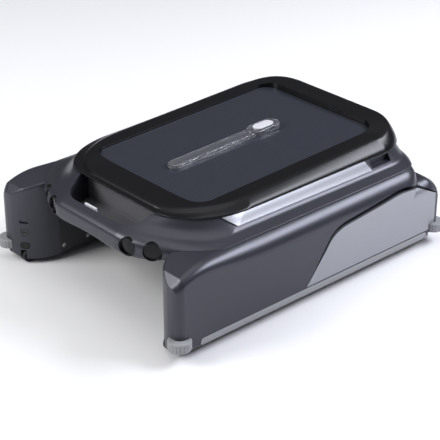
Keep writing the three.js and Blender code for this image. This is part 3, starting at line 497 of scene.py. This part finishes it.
def placed(piece, origin, direction):
    """Move a piece drawn about z so that its z axis points along a direction."""
    turn = Vector((0, 0, 1)).rotation_difference(Vector(direction)).to_matrix().to_4x4()
    piece.data.transform(Matrix.Translation(Vector(origin) * MM) @ turn)
    return piece


for side in ("left", "right"):
    refine(side + "_pontoon_cover", 0.5, textured_abs)

for (y, z), end in zip(screw_places(), ("front", "rear")):
    screw = turned("screw", [
        (0, -10.5), (2, -9), (2, -1.8), (3.5, -1.6), (3.6, -0.9), (3.3, -0.2), (2, 0.1), (0, 0.15)])
    for turn in (0, math.pi / 2):
        arm = block(-1.9, 1.9, -0.35, 0.35, -0.9, 1)
        arm.data.transform(Matrix.Rotation(turn, 4, "Z"))
        combine(screw, [arm])
    placed(soften(screw, 0.12), (INNER_X - 0.2, y, z), (-1, 0, 0))
    for piece, side in ((mirrored(screw, "screw_left"), "left"), (screw, "right")):
        node = side + "_" + end + "_cover_screw"
        finish_piece(piece, node + "_head", turned_steel, "hull", "bright_steel", node)

# ---- Silver side panels ---------------------------------------------------------------
# A bright snap-in panel of silver-pigmented ABS with a fine lengthwise brushed texture
# fills the rear of each pontoon's side. A dark gap shows round it.
side_panel = prism("side_panel", side_outline(0, 0), "x", INNER_X + 20, SIDE_X + 20)
combine(side_panel, [pontoon_body(0, PANEL_SKIN)])
combine(side_panel, [pontoon_body()], "INTERSECT")
combine(side_panel, [roller_room(ROLLER_Y, 48)])
soften(side_panel, 0.8)
# Silver-pigmented ABS: a soft metallic grey with long fine streaks under a thin clear coat.
silver_abs, tree, shader = start_material(
    "silver_brushed_abs", Metallic=0.55, IOR=1.53, Coat_Weight=0.2, Coat_Roughness=0.15)
grain(tree, shader, 0.5, 0.008, ("#8f9197", "#9d9fa5"), (0.32, 0.4), (1, 40, 1))
for piece, side in ((mirrored(side_panel, "side_panel_left"), "left"), (side_panel, "right")):
    finish_piece(piece, side + "_side_skin", silver_abs, "hull", "silver_panel",
                 side + "_side_panel")

# ---- Rubbing strips -------------------------------------------------------------------
# A bar of soft grey elastomer is pressed into a groove along each hull, so that the pool
# wall isn't marked. Slanting ribs are moulded across its face.
RIB_PITCH = 5
RIB_DEPTH = 0.55


def bumper_ring(y):
    """A cross-section of the strip whose face dips between ribs that slant with height."""
    middle = (BUMPER_Z + BUMPER_TOP) / 2
    end = min(y - BUMPER_FRONT, BUMPER_REAR - y)
    half = (BUMPER_TOP - BUMPER_Z) / 2 - corner_pull(end, 4.9, 4.9)
    back, face = SIDE_X - 2.7, SIDE_X + 1.5
    points = [(back, y, middle - half)]
    for i in range(9):
        z = middle + half * (i / 4 - 1)
        dip = RIB_DEPTH * max(0, math.sin(2 * math.pi * (y + z) / RIB_PITCH)) ** 3
        belly = 0.9 * (abs(z - middle) / 5) ** 4
        points.append((face - dip * (1 - ease(abs(z - middle), 3, 4.6)) - belly, y, z))
    return points + [(back, y, middle + half)]


strip_length = BUMPER_REAR - BUMPER_FRONT
strip_steps = int(strip_length / 0.9)
strip_stations = [
    BUMPER_FRONT + 0.05 + (strip_length - 0.1) * i / strip_steps for i in range(strip_steps + 1)]
bumper = loft("bumper", [bumper_ring(y) for y in strip_stations])
soften(bumper, 0.1, 60)
# Moulded elastomer: a matt mid grey that takes broad, weak highlights.
grey_elastomer, tree, shader = start_material("grey_moulded_elastomer", IOR=1.5)
grain(tree, shader, 0.6, 0.02, ("#8e8f92", "#9c9da0"), (0.5, 0.62))
for piece, side in ((mirrored(bumper, "bumper_left"), "left"), (bumper, "right")):
    finish_piece(piece, side + "_rubbing_strip", grey_elastomer, "hull", "grey_rubber",
                 side + "_bumper_strip")

# ---- Corner rollers -------------------------------------------------------------------
# Four rollers of the same grey elastomer turn on upright pins, so that the corners roll
# along the pool wall. Their rims are ribbed for grip.
RIBS = 20


def roller_ring(radius, z, ribbed):
    points = []
    for i in range(RIBS * 8):
        turn = 2 * math.pi * i / (RIBS * 8)
        groove = ribbed * 0.9 * max(0, math.cos(RIBS * turn)) ** 4
        points.append(((radius - groove) * math.cos(turn), (radius - groove) * math.sin(turn), z))
    return points


roller_h = ROLLER_HIGH.z - ROLLER_LOW.z
roller = loft("roller", [
    roller_ring(ROLLER_R - 4, 0, 0),
    roller_ring(ROLLER_R - 2, 0.2, 0),
    roller_ring(ROLLER_R - 0.6, 1, 0.5),
    roller_ring(ROLLER_R, 2, 1),
    roller_ring(ROLLER_R, roller_h - 2, 1),
    roller_ring(ROLLER_R - 0.6, roller_h - 1, 0.5),
    roller_ring(ROLLER_R - 2, roller_h - 0.2, 0),
    roller_ring(ROLLER_R - 4, roller_h, 0)])
combine(roller, [prism("pin_bore", circle(0, 0, 2.8, 24), "z", -1, 20)])
soften(roller, 0.15, 50)
for side, sx in (("left", -1), ("right", 1)):
    for end, sy in (("front", -1), ("rear", 1)):
        node = side + "_" + end + "_roller"
        tyre = roller.copy()
        tyre.data = roller.data.copy()
        corner = Vector((sx * ROLLER_X, sy * ROLLER_Y, ROLLER_LOW.z))
        tyre.data.transform(Matrix.Translation(corner * MM))
        bpy.context.scene.collection.objects.link(tyre)
        finish_piece(tyre, node + "_tyre", grey_elastomer, BODY_OF[node], "grey_rubber", node)
        refine(node + "_pin", 0.2, turned_steel)
bpy.data.objects.remove(roller)

# ---- Nose wheels and rear feet --------------------------------------------------------
# The machine stands on two small rubber wheels under its noses, each on a steel axle,
# and on two moulded rubber feet under its tails.
# Moulded rubber: near black and quite matt.
black_rubber, tree, shader = start_material("black_moulded_rubber", IOR=1.5)
grain(tree, shader, 0.7, 0.03, ("#0c0c0d", "#161617"), (0.6, 0.75))
for side in ("left", "right"):
    refine(side + "_nose_wheel", 1.2, black_rubber)
    refine(side + "_nose_axle", 0.2, turned_steel)
    refine(side + "_skid_foot", 1.0, black_rubber)

# ---- Thrusters ------------------------------------------------------------------------
# A water-jet tunnel in each tail: a textured ABS duct, a three-bladed propeller on a steel
# shaft, a rubber seal and a canned motor behind it.
for side in ("left", "right"):
    refine(side + "_thruster_duct", 0.4, textured_abs)
    refine(side + "_propeller", 0.3, textured_abs)
    refine(side + "_drive_shaft", 0.2, turned_steel)
    refine(side + "_thruster_motor", 0.4, turned_steel)
    refine(side + "_shaft_seal", 0.3, black_rubber)

# ---- Drain plug and charging flap -----------------------------------------------------
# A slotted ABS screw plug drains the left float, and a soft rubber flap below it covers
# the charging contacts.
refine("drain_plug", 0.4, textured_abs)
refine("charge_flap", 0.5, black_rubber)

# ---- Deck shell -----------------------------------------------------------------------
# One wide moulding in the same metallic ABS bridges the two pontoons. Its front is drawn
# out into a handle bar with a hand opening behind it.
DECK_FRONT, DECK_REAR, DECK_HALF = -263, 252, 191
FRAME_Z = to_mm(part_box("solar_frame")[0]).z
RAIL_DROP, TRAY_T = 22.6, 3
TRAY_Z = to_mm(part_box("belly_tray")[0]).z + RAIL_DROP - TRAY_T
CORNER_STEPS = 22


def level_ring(half, front, rear, front_corner, rear_corner, height, power=2):
    """A level outline, symmetric about x = 0, whose corners are quarter superellipses:
    power 2 is an ellipse, and less is closer to a chamfer."""
    points = []
    for sx, sy, backwards in ((1, -1, False), (1, 1, True), (-1, 1, False), (-1, -1, True)):
        size = front_corner if sy < 0 else rear_corner
        bend = power if sy < 0 else 2
        for i in range(CORNER_STEPS + 1):
            t = math.pi / 2 * i / CORNER_STEPS
            turn = t if backwards else math.pi / 2 - t
            u = max(0, math.cos(turn)) ** (2 / bend)
            v = max(0, math.sin(turn)) ** (2 / bend)
            x = sx * (half - size[0] + size[0] * u)
            y = (front if sy < 0 else rear) + sy * (size[1] * v - size[1])
            points.append((x, y, height(x, y)))
    return points


def smooth_tiers(tiers, steps=5):
    """More levels between the given ones, on smooth curves through each of their values."""
    rows = []
    last = len(tiers) - 1
    for i in range(last):
        before, start, end, after = (tiers[max(0, min(last, i + k))] for k in (-1, 0, 1, 2))
        for k in range(steps):
            t = k / steps
            rows.append([
                0.5 * (2 * b + (c - a) * t + (2 * a - 5 * b + 4 * c - d) * t ** 2
                       + (3 * b - a - 3 * c + d) * t ** 3)
                for a, b, c, d in zip(before, start, end, after)])
    return rows + [list(tiers[-1])]


# Each level of the deck, from the seat of the frame down to its lower rim: half width,
# front and rear, the front corner's size and power, and its height at the front, sides
# and rear.
seat = FRAME_Z - GAP
DECK_TIERS = [
    (DECK_HALF - 32, DECK_FRONT + 52, DECK_REAR - 9, 84, 110, 2,
     seat, seat, seat),
    (DECK_HALF - 29, DECK_FRONT + 46, DECK_REAR - 8, 92, 110, 1.9,
     seat - 2, seat - 4, seat - 4),
    (DECK_HALF - 23, DECK_FRONT + 35, DECK_REAR - 6, 104, 108, 1.75,
     seat - 6, seat - 13, seat - 13),
    (DECK_HALF - 17, DECK_FRONT + 19, DECK_REAR - 4, 116, 104, 1.6,
     seat - 13, seat - 20, seat - 20),
    (DECK_HALF - 9, DECK_FRONT + 8, DECK_REAR - 2, 122, 100, 1.6,
     seat - 18.5, seat - 23, seat - 25),
    (DECK_HALF - 3, DECK_FRONT + 2, DECK_REAR, 126, 96, 1.6,
     seat - 25, seat - 25, seat - 30),
    (DECK_HALF, DECK_FRONT, DECK_REAR, 128, 95, 1.6,
     seat - 35, seat - 26, seat - 36),
    (DECK_HALF - 1, DECK_FRONT + 1.5, DECK_REAR - 2, 127, 95, 1.6,
     seat - 45, seat - 28.2, seat - 44),
    (DECK_HALF - 2, DECK_FRONT + 7, DECK_REAR - 4, 126, 95, 1.6,
     TRAY_Z + 4, seat - 30, TRAY_Z + 2),
]


def deck_body(grow=0):
    def ring(half, front, rear, corner_x, corner_y, power, z_front, z_side, z_rear):
        def height(x, y):
            to_side = ease(y, DECK_FRONT + 6, DECK_FRONT + 85)
            to_rear = ease(y, DECK_REAR - 38, DECK_REAR - 8)
            return (z_front + (z_side - z_front) * to_side) * (1 - to_rear) + z_rear * to_rear
        return level_ring(half + grow, front - grow, rear + grow, (corner_x, corner_y),
                          (60, 60), height, power)
    return loft("deck", [ring(*row) for row in smooth_tiers(DECK_TIERS)])


GRIP_REAR = -186


def grip_outline(grow):
    """Plan of the hand opening: straight behind the bar, and wider under the frame."""
    bar = DECK_FRONT + 17 - grow
    right = bezier((46, bar), (66 + grow, bar), (77 + grow, bar + 19), 14)
    right.append(Vector((92 + grow, GRIP_REAR + grow)))
    return [(-x, y) for x, y in reversed(right)] + [(x, y) for x, y in right]


SENSOR_R = 14


def sensor_places():
    """Each sensor's node, place on the deck and bearing, measured from straight ahead."""
    for name, x, y, bearing in (
            ("corner_left_sensor", -122, 21, -46), ("front_left_sensor", -86, 4.5, -14),
            ("front_right_sensor", 86, 4.5, 14), ("corner_right_sensor", 122, 21, 46)):
        turn = math.radians(bearing)
        yield name, Vector((x, DECK_FRONT + y, 129.5)), Vector((math.sin(turn), -math.cos(turn), 0))


def hollow_tier(z):
    return level_ring(INNER_X + 8, GRIP_REAR + 4, DECK_REAR - 16, (85, 100), (45, 45),
                      lambda x, y: z)


ARCH_R = (72 ** 2 + 8 ** 2) / 16
PANEL_FRONT, PANEL_REAR, PANEL_HALF = -155, 206, 121
deck = deck_body()
pontoon_room = pontoon_body(GAP)
pontoon_room_left = mirrored(pontoon_room, "room_left")
SLOT_FRONT, SLOT_REAR = DECK_REAR - 104, DECK_REAR - 62
SLOT_LOW, SLOT_HIGH = FRAME_Z - 15, FRAME_Z - 4
sensor_bores = []
for _, place, bearing in sensor_places():
    bore = prism("bore", circle(0, 0, SENSOR_R + GAP), "z", -9.3, 20)
    sensor_bores.append(placed(bore, place, bearing))
combine(deck, [
    loft("hollow", [hollow_tier(FRAME_Z - 5), hollow_tier(SHOULDER_Z - 3)]),
    block(-INNER_X - 8, INNER_X + 8, GRIP_REAR + 4, DECK_REAR - 16, 0, SHOULDER_Z - 1),
    prism("window", round_rect(
        -PANEL_HALF + 14, PANEL_HALF - 14, PANEL_FRONT + 14, PANEL_REAR - 14, 20), "z", 150, 200),
    prism("arch", circle(0, TRAY_Z + 12 - ARCH_R, ARCH_R, 400), "y", DECK_FRONT - 10, GRIP_REAR),
    prism("grip", grip_outline(0), "z", 60, 200),
    pontoon_room, pontoon_room_left,
    block(-INNER_X + 0.3, INNER_X - 0.3, NOSE_Y, GRIP_REAR + 5, 0, TRAY_Z + 3),
    block(DECK_HALF - 33, DECK_HALF + 5, SLOT_FRONT, SLOT_REAR, SLOT_LOW, SLOT_HIGH),
    block(-DECK_HALF - 5, 33 - DECK_HALF, SLOT_FRONT, SLOT_REAR, SLOT_LOW, SLOT_HIGH),
    block(-29, -3, DECK_FRONT + 11.5, DECK_FRONT + 22, 131, 142),
    *sensor_bores,
])
soften(deck, 0.9, 28)
finish_piece(deck, "deck", gunmetal_abs, "hull", "gunmetal_shell", "deck_shell")

# ---- Distance sensors -----------------------------------------------------------------
# Four round windows look ahead. Each is a gloss black polycarbonate cup with a raised rim
# and a slightly domed lens set back inside it.
# Smoked polycarbonate: a smooth gloss black with one small sharp highlight.
dark_lens, tree, shader = start_material(
    "smoked_polycarbonate", IOR=1.58, Specular_IOR_Level=0.2)
grain(tree, shader, 1.5, 0.001, ("#08080a", "#0e0e11"), (0.08, 0.14))
for node, place, bearing in sensor_places():
    lens = turned("lens", [
        (0, -9), (SENSOR_R, -9), (SENSOR_R, -1.4), (SENSOR_R - 0.3, -1), (SENSOR_R - 0.9, -1),
        (SENSOR_R - 1.4, -1.5), (SENSOR_R - 1.7, -3.8), (SENSOR_R - 3, -4), (8, -3.5), (4, -3.1),
        (0, -3)], 56)
    placed(soften(lens, 0.15, 40), place, bearing)
    finish_piece(lens, node + "_window", dark_lens, "hull", "sensor_window", node)

# ---- Hand opening and release lever ---------------------------------------------------
# The opening is lined with a dark textured moulding, and a pale ABS lever under the back
# of the bar releases the basket when it is squeezed.
# Etched ABS: a dry mid grey with almost no shine.
etched_abs, tree, shader = start_material("fine_etched_abs", IOR=1.53)
grain(tree, shader, 0.5, 0.01, ("#5c5c60", "#68686c"), (0.5, 0.6))
refine("grip_well", 0.5, etched_abs)
# Unpainted pale ABS: a satin off-white, a little cool.
pale_abs, tree, shader = start_material("pale_moulded_abs", IOR=1.53)
grain(tree, shader, 0.6, 0.008, ("#cbcbd2", "#d4d4da"), (0.32, 0.42))
refine("release_lever", 0.8, pale_abs)

# ---- Silver trim strips ---------------------------------------------------------------
# A thin silver ABS blade follows the deck under each side of the frame, cut at a slant
# where it meets the slot at the stern.
trim = deck_body(2.3)
combine(trim, [deck_body(GAP)])
combine(trim, [prism("trim_side", [
    (-127, FRAME_Z - 14), (145, FRAME_Z - 16), (137, FRAME_Z - 1), (-144, FRAME_Z - 1)],
    "x", 100, 300)], "INTERSECT")
soften(trim, 0.35, 40)
for piece, side in ((mirrored(trim, "trim_left"), "left"), (trim, "right")):
    finish_piece(piece, side + "_trim_blade", silver_abs, "hull", "silver_panel",
                 side + "_trim_strip")

# ---- Electronics tray, battery and control board --------------------------------------
# A textured ABS tray closes the deck from below and carries the basket's rails. On it
# sit the shrink-wrapped battery pack and the control board.
refine("belly_tray", 0.5, textured_abs)
# PVC shrink wrap: a glossy blue skin, drawn slightly wavy over the cells.
shrink_wrap, tree, shader = start_material("pvc_shrink_wrap", IOR=1.54)
grain(tree, shader, 2.0, 0.05, ("#28487a", "#305288"), (0.25, 0.4), (4, 1, 1))
refine("battery_pack", 1.0, shrink_wrap)
# Epoxy solder mask: a semi-gloss green.
solder_mask, tree, shader = start_material("epoxy_solder_mask", IOR=1.55)
grain(tree, shader, 1.2, 0.02, ("#1b5537", "#25643f"), (0.3, 0.45))
refine("control_board", 0.2, solder_mask)

# ---- Debris basket --------------------------------------------------------------------
# The basket is a ribbed ABS drawer with a woven polyester screen inside it, a bent grip
# at the stern, and a gate across its mouth that swings on a steel pin.
refine("basket_frame", 0.5, textured_abs)
refine("basket_handle", 1.0, textured_abs)
refine("gate_pin", 0.2, turned_steel)
refine("intake_gate", 0.4, textured_abs)

# A woven polyester cloth: a fine matt grid of grey threads over dark holes. The real threads
# are 0.3 mm apart, which is too fine to see, so they are drawn at 2 mm. A wave texture
# repeats every WAVE_REPEAT / scale.
WAVE_REPEAT = 0.314
THREAD_PITCH = 2
woven_screen, tree, shader = start_material("woven_polyester_screen", IOR=1.57, Roughness=0.6)
place = add_node(tree, "TexCoord")
threads = []
for direction in ("X", "Y", "Z"):
    threads.append(add_node(tree, "TexWave", {
        "wave_type": "BANDS", "bands_direction": direction,
        "Scale": WAVE_REPEAT / (THREAD_PITCH * MM)}, {
        "Vector": place.outputs["Object"]}))
weave = add_node(tree, "Math", {"operation": "MAXIMUM"}, {
    0: threads[0].outputs["Fac"], 1: threads[1].outputs["Fac"]})
weave = add_node(tree, "Math", {"operation": "MAXIMUM"}, {
    0: weave.outputs["Value"], 1: threads[2].outputs["Fac"]})
tone = add_node(tree, "Mix", {"data_type": "RGBA", 6: linear("#2e3034"), 7: linear("#6a6c72")},
                {0: weave.outputs["Value"]})
tree.links.new(tone.outputs[2], shader.inputs["Base Color"])
bump = add_node(tree, "Bump", {"Strength": 0.7, "Distance": 0.3 * MM},
                {"Height": weave.outputs["Value"]})
tree.links.new(bump.outputs["Normal"], shader.inputs["Normal"])
refine("filter_screen", 0.1, woven_screen)

# ---- Solar frame ----------------------------------------------------------------------
# A piano-black polycarbonate bezel, moulded and polished, holds the panel. Its skirt
# falls away all round, and its rear lip rises behind the panel.
FRAME_HALF, FRAME_FRONT, FRAME_REAR = 164, -205, 250
PANEL_Z, PANEL_RISE, PANEL_T, PANEL_R = 169.5, 11, 4, 25
LEDGE, GASKET_T = 7, 1.5
panel_tilt = math.atan2(PANEL_RISE, PANEL_REAR - PANEL_FRONT)
panel_middle = PANEL_Z - PANEL_FRONT * math.tan(panel_tilt)
on_panel = Matrix.Translation((0, 0, panel_middle * MM)) @ Matrix.Rotation(panel_tilt, 4, "X")


def rim_top(y):
    flat = PANEL_Z + (max(y, PANEL_FRONT) - PANEL_FRONT) * math.tan(panel_tilt) + 3.5
    lip = 5.6 * ease(y, PANEL_REAR - 20, FRAME_REAR - 12)
    return flat + lip - 5 * ease(-y, -PANEL_FRONT, -FRAME_FRONT)


# Each level of the bezel: how far it is set in, its share of the rim's height, and a drop.
FRAME_TIERS = [(22, 1, 0), (17, 1, 0.6), (12, 1, 3.2), (4, 0.4, 0), (0.6, 0, -2), (0, 0, 0)]


def frame_ring(inset, share, drop):
    return level_ring(
        FRAME_HALF - inset, FRAME_FRONT + inset * 0.6, FRAME_REAR - inset * 0.5,
        (80, 110), (68, 68),
        lambda x, y: FRAME_Z + (rim_top(y) - FRAME_Z) * share - drop)


def panel_outline(grow):
    lean = 1 / math.cos(panel_tilt)
    return round_rect(-PANEL_HALF - grow, PANEL_HALF + grow, PANEL_FRONT * lean - grow,
                      PANEL_REAR * lean + grow, PANEL_R + grow, 14)


def tilted(piece):
    """Move a piece drawn on a flat panel into the panel's leaning plane."""
    piece.data.transform(on_panel)
    return piece


bezel = loft("bezel", [frame_ring(*row) for row in smooth_tiers(FRAME_TIERS, 4)])
combine(bezel, [
    tilted(prism("panel_seat", panel_outline(GAP), "z", -PANEL_T - GASKET_T - 2 * GAP, 60)),
    tilted(prism("panel_light", panel_outline(-LEDGE), "z", -60, 60))])
soften(bezel, 0.8, 28)
# Polished black polycarbonate: deep black with wide smooth reflections.
piano_black, tree, shader = start_material(
    "piano_black_polycarbonate", IOR=1.58, Specular_IOR_Level=0.22)
grain(tree, shader, 6, 0.002, ("#101012", "#151518"), (0.2, 0.28))
finish_piece(bezel, "bezel", piano_black, "hull", "gloss_black", "solar_frame")
refine("panel_gasket", 0.2, black_rubber)

# ---- Solar panel ----------------------------------------------------------------------
# Slate-blue cells are laminated under a clear embossed sheet, and the panel is bonded into
# the bezel on its gasket. Fine conductor lines run lengthwise, 6.8 mm apart.
panel = tilted(prism("panel", panel_outline(0), "z", -PANEL_T, 0))
soften(panel, 0.7, 40)
# Laminated cells: slate blue with fine streaks and a soft gloss over them.
cells, tree, shader = start_material(
    "laminated_solar_cells", Metallic=0.25, IOR=1.5, Coat_Weight=0.5, Coat_Roughness=0.12)
place = add_node(tree, "TexCoord")
LINE_PITCH = 6.8
lines = add_node(tree, "TexWave", {
    "wave_type": "BANDS", "bands_direction": "X", "Scale": WAVE_REPEAT / (LINE_PITCH * MM)}, {
    "Vector": place.outputs["Object"]})
stretch = add_node(tree, "Mapping", {"Scale": (1, 0.012, 1)}, {"Vector": place.outputs["Object"]})
streaks = add_node(tree, "TexNoise", {"Scale": 1 / (0.9 * MM), "Detail": 4},
                   {"Vector": stretch.outputs["Vector"]})
thin = add_node(tree, "Math", {"operation": "POWER", 1: 10}, {0: lines.outputs["Fac"]})
base = add_node(tree, "Mix", {"data_type": "RGBA", 6: linear("#2c2f39"), 7: linear("#3d404c")},
                {0: streaks.outputs["Fac"]})
ruled = add_node(tree, "Mix", {"data_type": "RGBA", 7: linear("#262932")},
                 {0: thin.outputs["Value"], 6: base.outputs[2]})
tree.links.new(ruled.outputs[2], shader.inputs["Base Color"])
sheen = add_node(tree, "MapRange", {"To Min": 0.24, "To Max": 0.4},
                 {"Value": streaks.outputs["Fac"]})
tree.links.new(sheen.outputs["Result"], shader.inputs["Roughness"])
bump = add_node(tree, "Bump", {"Strength": 0.5, "Distance": 0.05 * MM},
                {"Height": streaks.outputs["Fac"]})
tree.links.new(bump.outputs["Normal"], shader.inputs["Normal"])
finish_piece(panel, "panel", cells, "hull", "solar_cells", "solar_panel")

# ---- Light guide and power button -----------------------------------------------------
# A clear acrylic bar bonded along the panel's middle carries the status light. Its wider
# rear end holds the pale power button in an oval well.
GUIDE_HALF, GUIDE_FRONT, GUIDE_REAR, GUIDE_H = 11, -107, 113, 6.5
HOUSING_HALF, HOUSING_L = 14, 62
BUTTON_HALF, BUTTON_L = 8.5, 38


def stadium(half, front, rear, grow=0, steps=20):
    side, radius = half + grow, half + grow - 0.05
    return round_rect(-side, side, front - grow, rear + grow, radius, steps)


def crowned_bar(name, half, front, rear, levels):
    """A bar with round ends whose (grow, height) levels close in towards its crown."""
    return loft(name, [
        [(x, y, z) for x, y in stadium(half, front, rear, grow)] for grow, z in levels])


housing_front = GUIDE_REAR - HOUSING_L
button_middle = (housing_front + GUIDE_REAR) / 2
button_front, button_rear = button_middle - BUTTON_L / 2, button_middle + BUTTON_L / 2
guide = crowned_bar("guide", GUIDE_HALF, GUIDE_FRONT, GUIDE_REAR - 12, [
    (0, GAP), (0, 4.2), (-0.5, 5.4), (-1.5, 6.1), (-3, 6.4), (-6, GUIDE_H)])
housing = crowned_bar("housing", HOUSING_HALF, housing_front, GUIDE_REAR, [
    (0, GAP), (0, 6.2), (-0.5, 7.4), (-1.5, 8.1), (-3, 8.4), (-5, GUIDE_H + 2)])
combine(guide, [housing], "UNION")
well = stadium(BUTTON_HALF + GAP, button_front - GAP, button_rear + GAP)
combine(guide, [prism("well", well, "z", 2, 60)])
tilted(soften(guide, 0.3, 40))
# Cast acrylic: clear and smooth, so that the cells show through it.
clear_acrylic, tree, shader = start_material(
    "clear_cast_acrylic", IOR=1.49, Transmission_Weight=0.9)
grain(tree, shader, 9, 0.001, ("#c2c5cc", "#d2d5da"), (0.05, 0.1))
finish_piece(guide, "guide", clear_acrylic, "hull", "clear_plastic", "light_guide")

button = crowned_bar("button", BUTTON_HALF, button_front, button_rear, [
    (-0.4, 4), (0, 4.4), (0, 8.6), (-0.3, 9.2), (-1, 9.6), (-3, 9.8), (-6, 9.9)])
tilted(soften(button, 0.2, 40))
finish_piece(button, "button", pale_abs, "power_button", "pale_plastic", "power_button")

# ---- Floor, lights and camera ---------------------------------------------------------
# A plain pale floor under a large weak soft box, with a stronger box ahead and a long strip
# beside the stern that draws the highlight along the pontoon's shoulder.
bpy.ops.mesh.primitive_grid_add(x_subdivisions=2, y_subdivisions=2, size=14)
floor = bpy.context.object
floor.name = "floor"
# Studio paint: a matt, nearly even white.
pale_floor, tree, shader = start_material("pale_studio_paint", IOR=1.45)
grain(tree, shader, 3, 0.01, ("#f4f4f5", "#f7f7f8"), (0.75, 0.85))
floor.data.materials.append(pale_floor)


def soft_box(name, place, aim, size, watts, colour="#ffffff"):
    lamp = bpy.data.lights.new(name, "AREA")
    lamp.shape = "RECTANGLE"
    lamp.size, lamp.size_y = size
    lamp.energy = watts
    lamp.color = linear(colour)[:3]
    stand = bpy.data.objects.new(name, lamp)
    stand.location = place
    stand.rotation_euler = (Vector(aim) - Vector(place)).to_track_quat("-Z", "Y").to_euler()
    bpy.context.scene.collection.objects.link(stand)


soft_box("overhead_box", (0, 0, 2.4), (0, 0, 0), (2.0, 2.0), 10)
soft_box("front_box", (-1.0, -2.0, 1.5), (-0.2, -0.4, 0), (1.4, 1.2), 46)
soft_box("shoulder_box", (0.98, 1.24, 1.38), (0.1, 0, 0.12), (1.5, 0.6), 40, "#f2f4ff")

# The room is bright overhead and falls off towards the horizon, as a studio's walls do.
world = bpy.data.worlds.new("studio")
world.use_nodes = True
place = add_node(world.node_tree, "TexCoord")
height = add_node(world.node_tree, "SeparateXYZ", (), {"Vector": place.outputs["Generated"]})
rise = add_node(world.node_tree, "MapRange", {
    "interpolation_type": "SMOOTHSTEP", "From Min": 0.45, "From Max": 1,
    "To Min": 0.1, "To Max": 0.66}, {"Value": height.outputs["Z"]})
background = world.node_tree.nodes["Background"]
background.inputs["Color"].default_value = linear("#f2f3f6")
world.node_tree.links.new(rise.outputs["Result"], background.inputs["Strength"])
bpy.context.scene.world = world
bpy.context.scene.view_settings.view_transform = "Standard"

camera_data = bpy.data.cameras.new("camera")
camera_data.lens = 120.35
camera_data.sensor_width = 36
camera = bpy.data.objects.new("camera", camera_data)
camera.location = (1.4964, -1.3545, 1.1079)
aim = Vector((0.0415, -0.0445, 0.080))
camera.rotation_euler = (aim - camera.location).to_track_quat("-Z", "Y").to_euler()
bpy.context.scene.collection.objects.link(camera)
bpy.context.scene.camera = camera
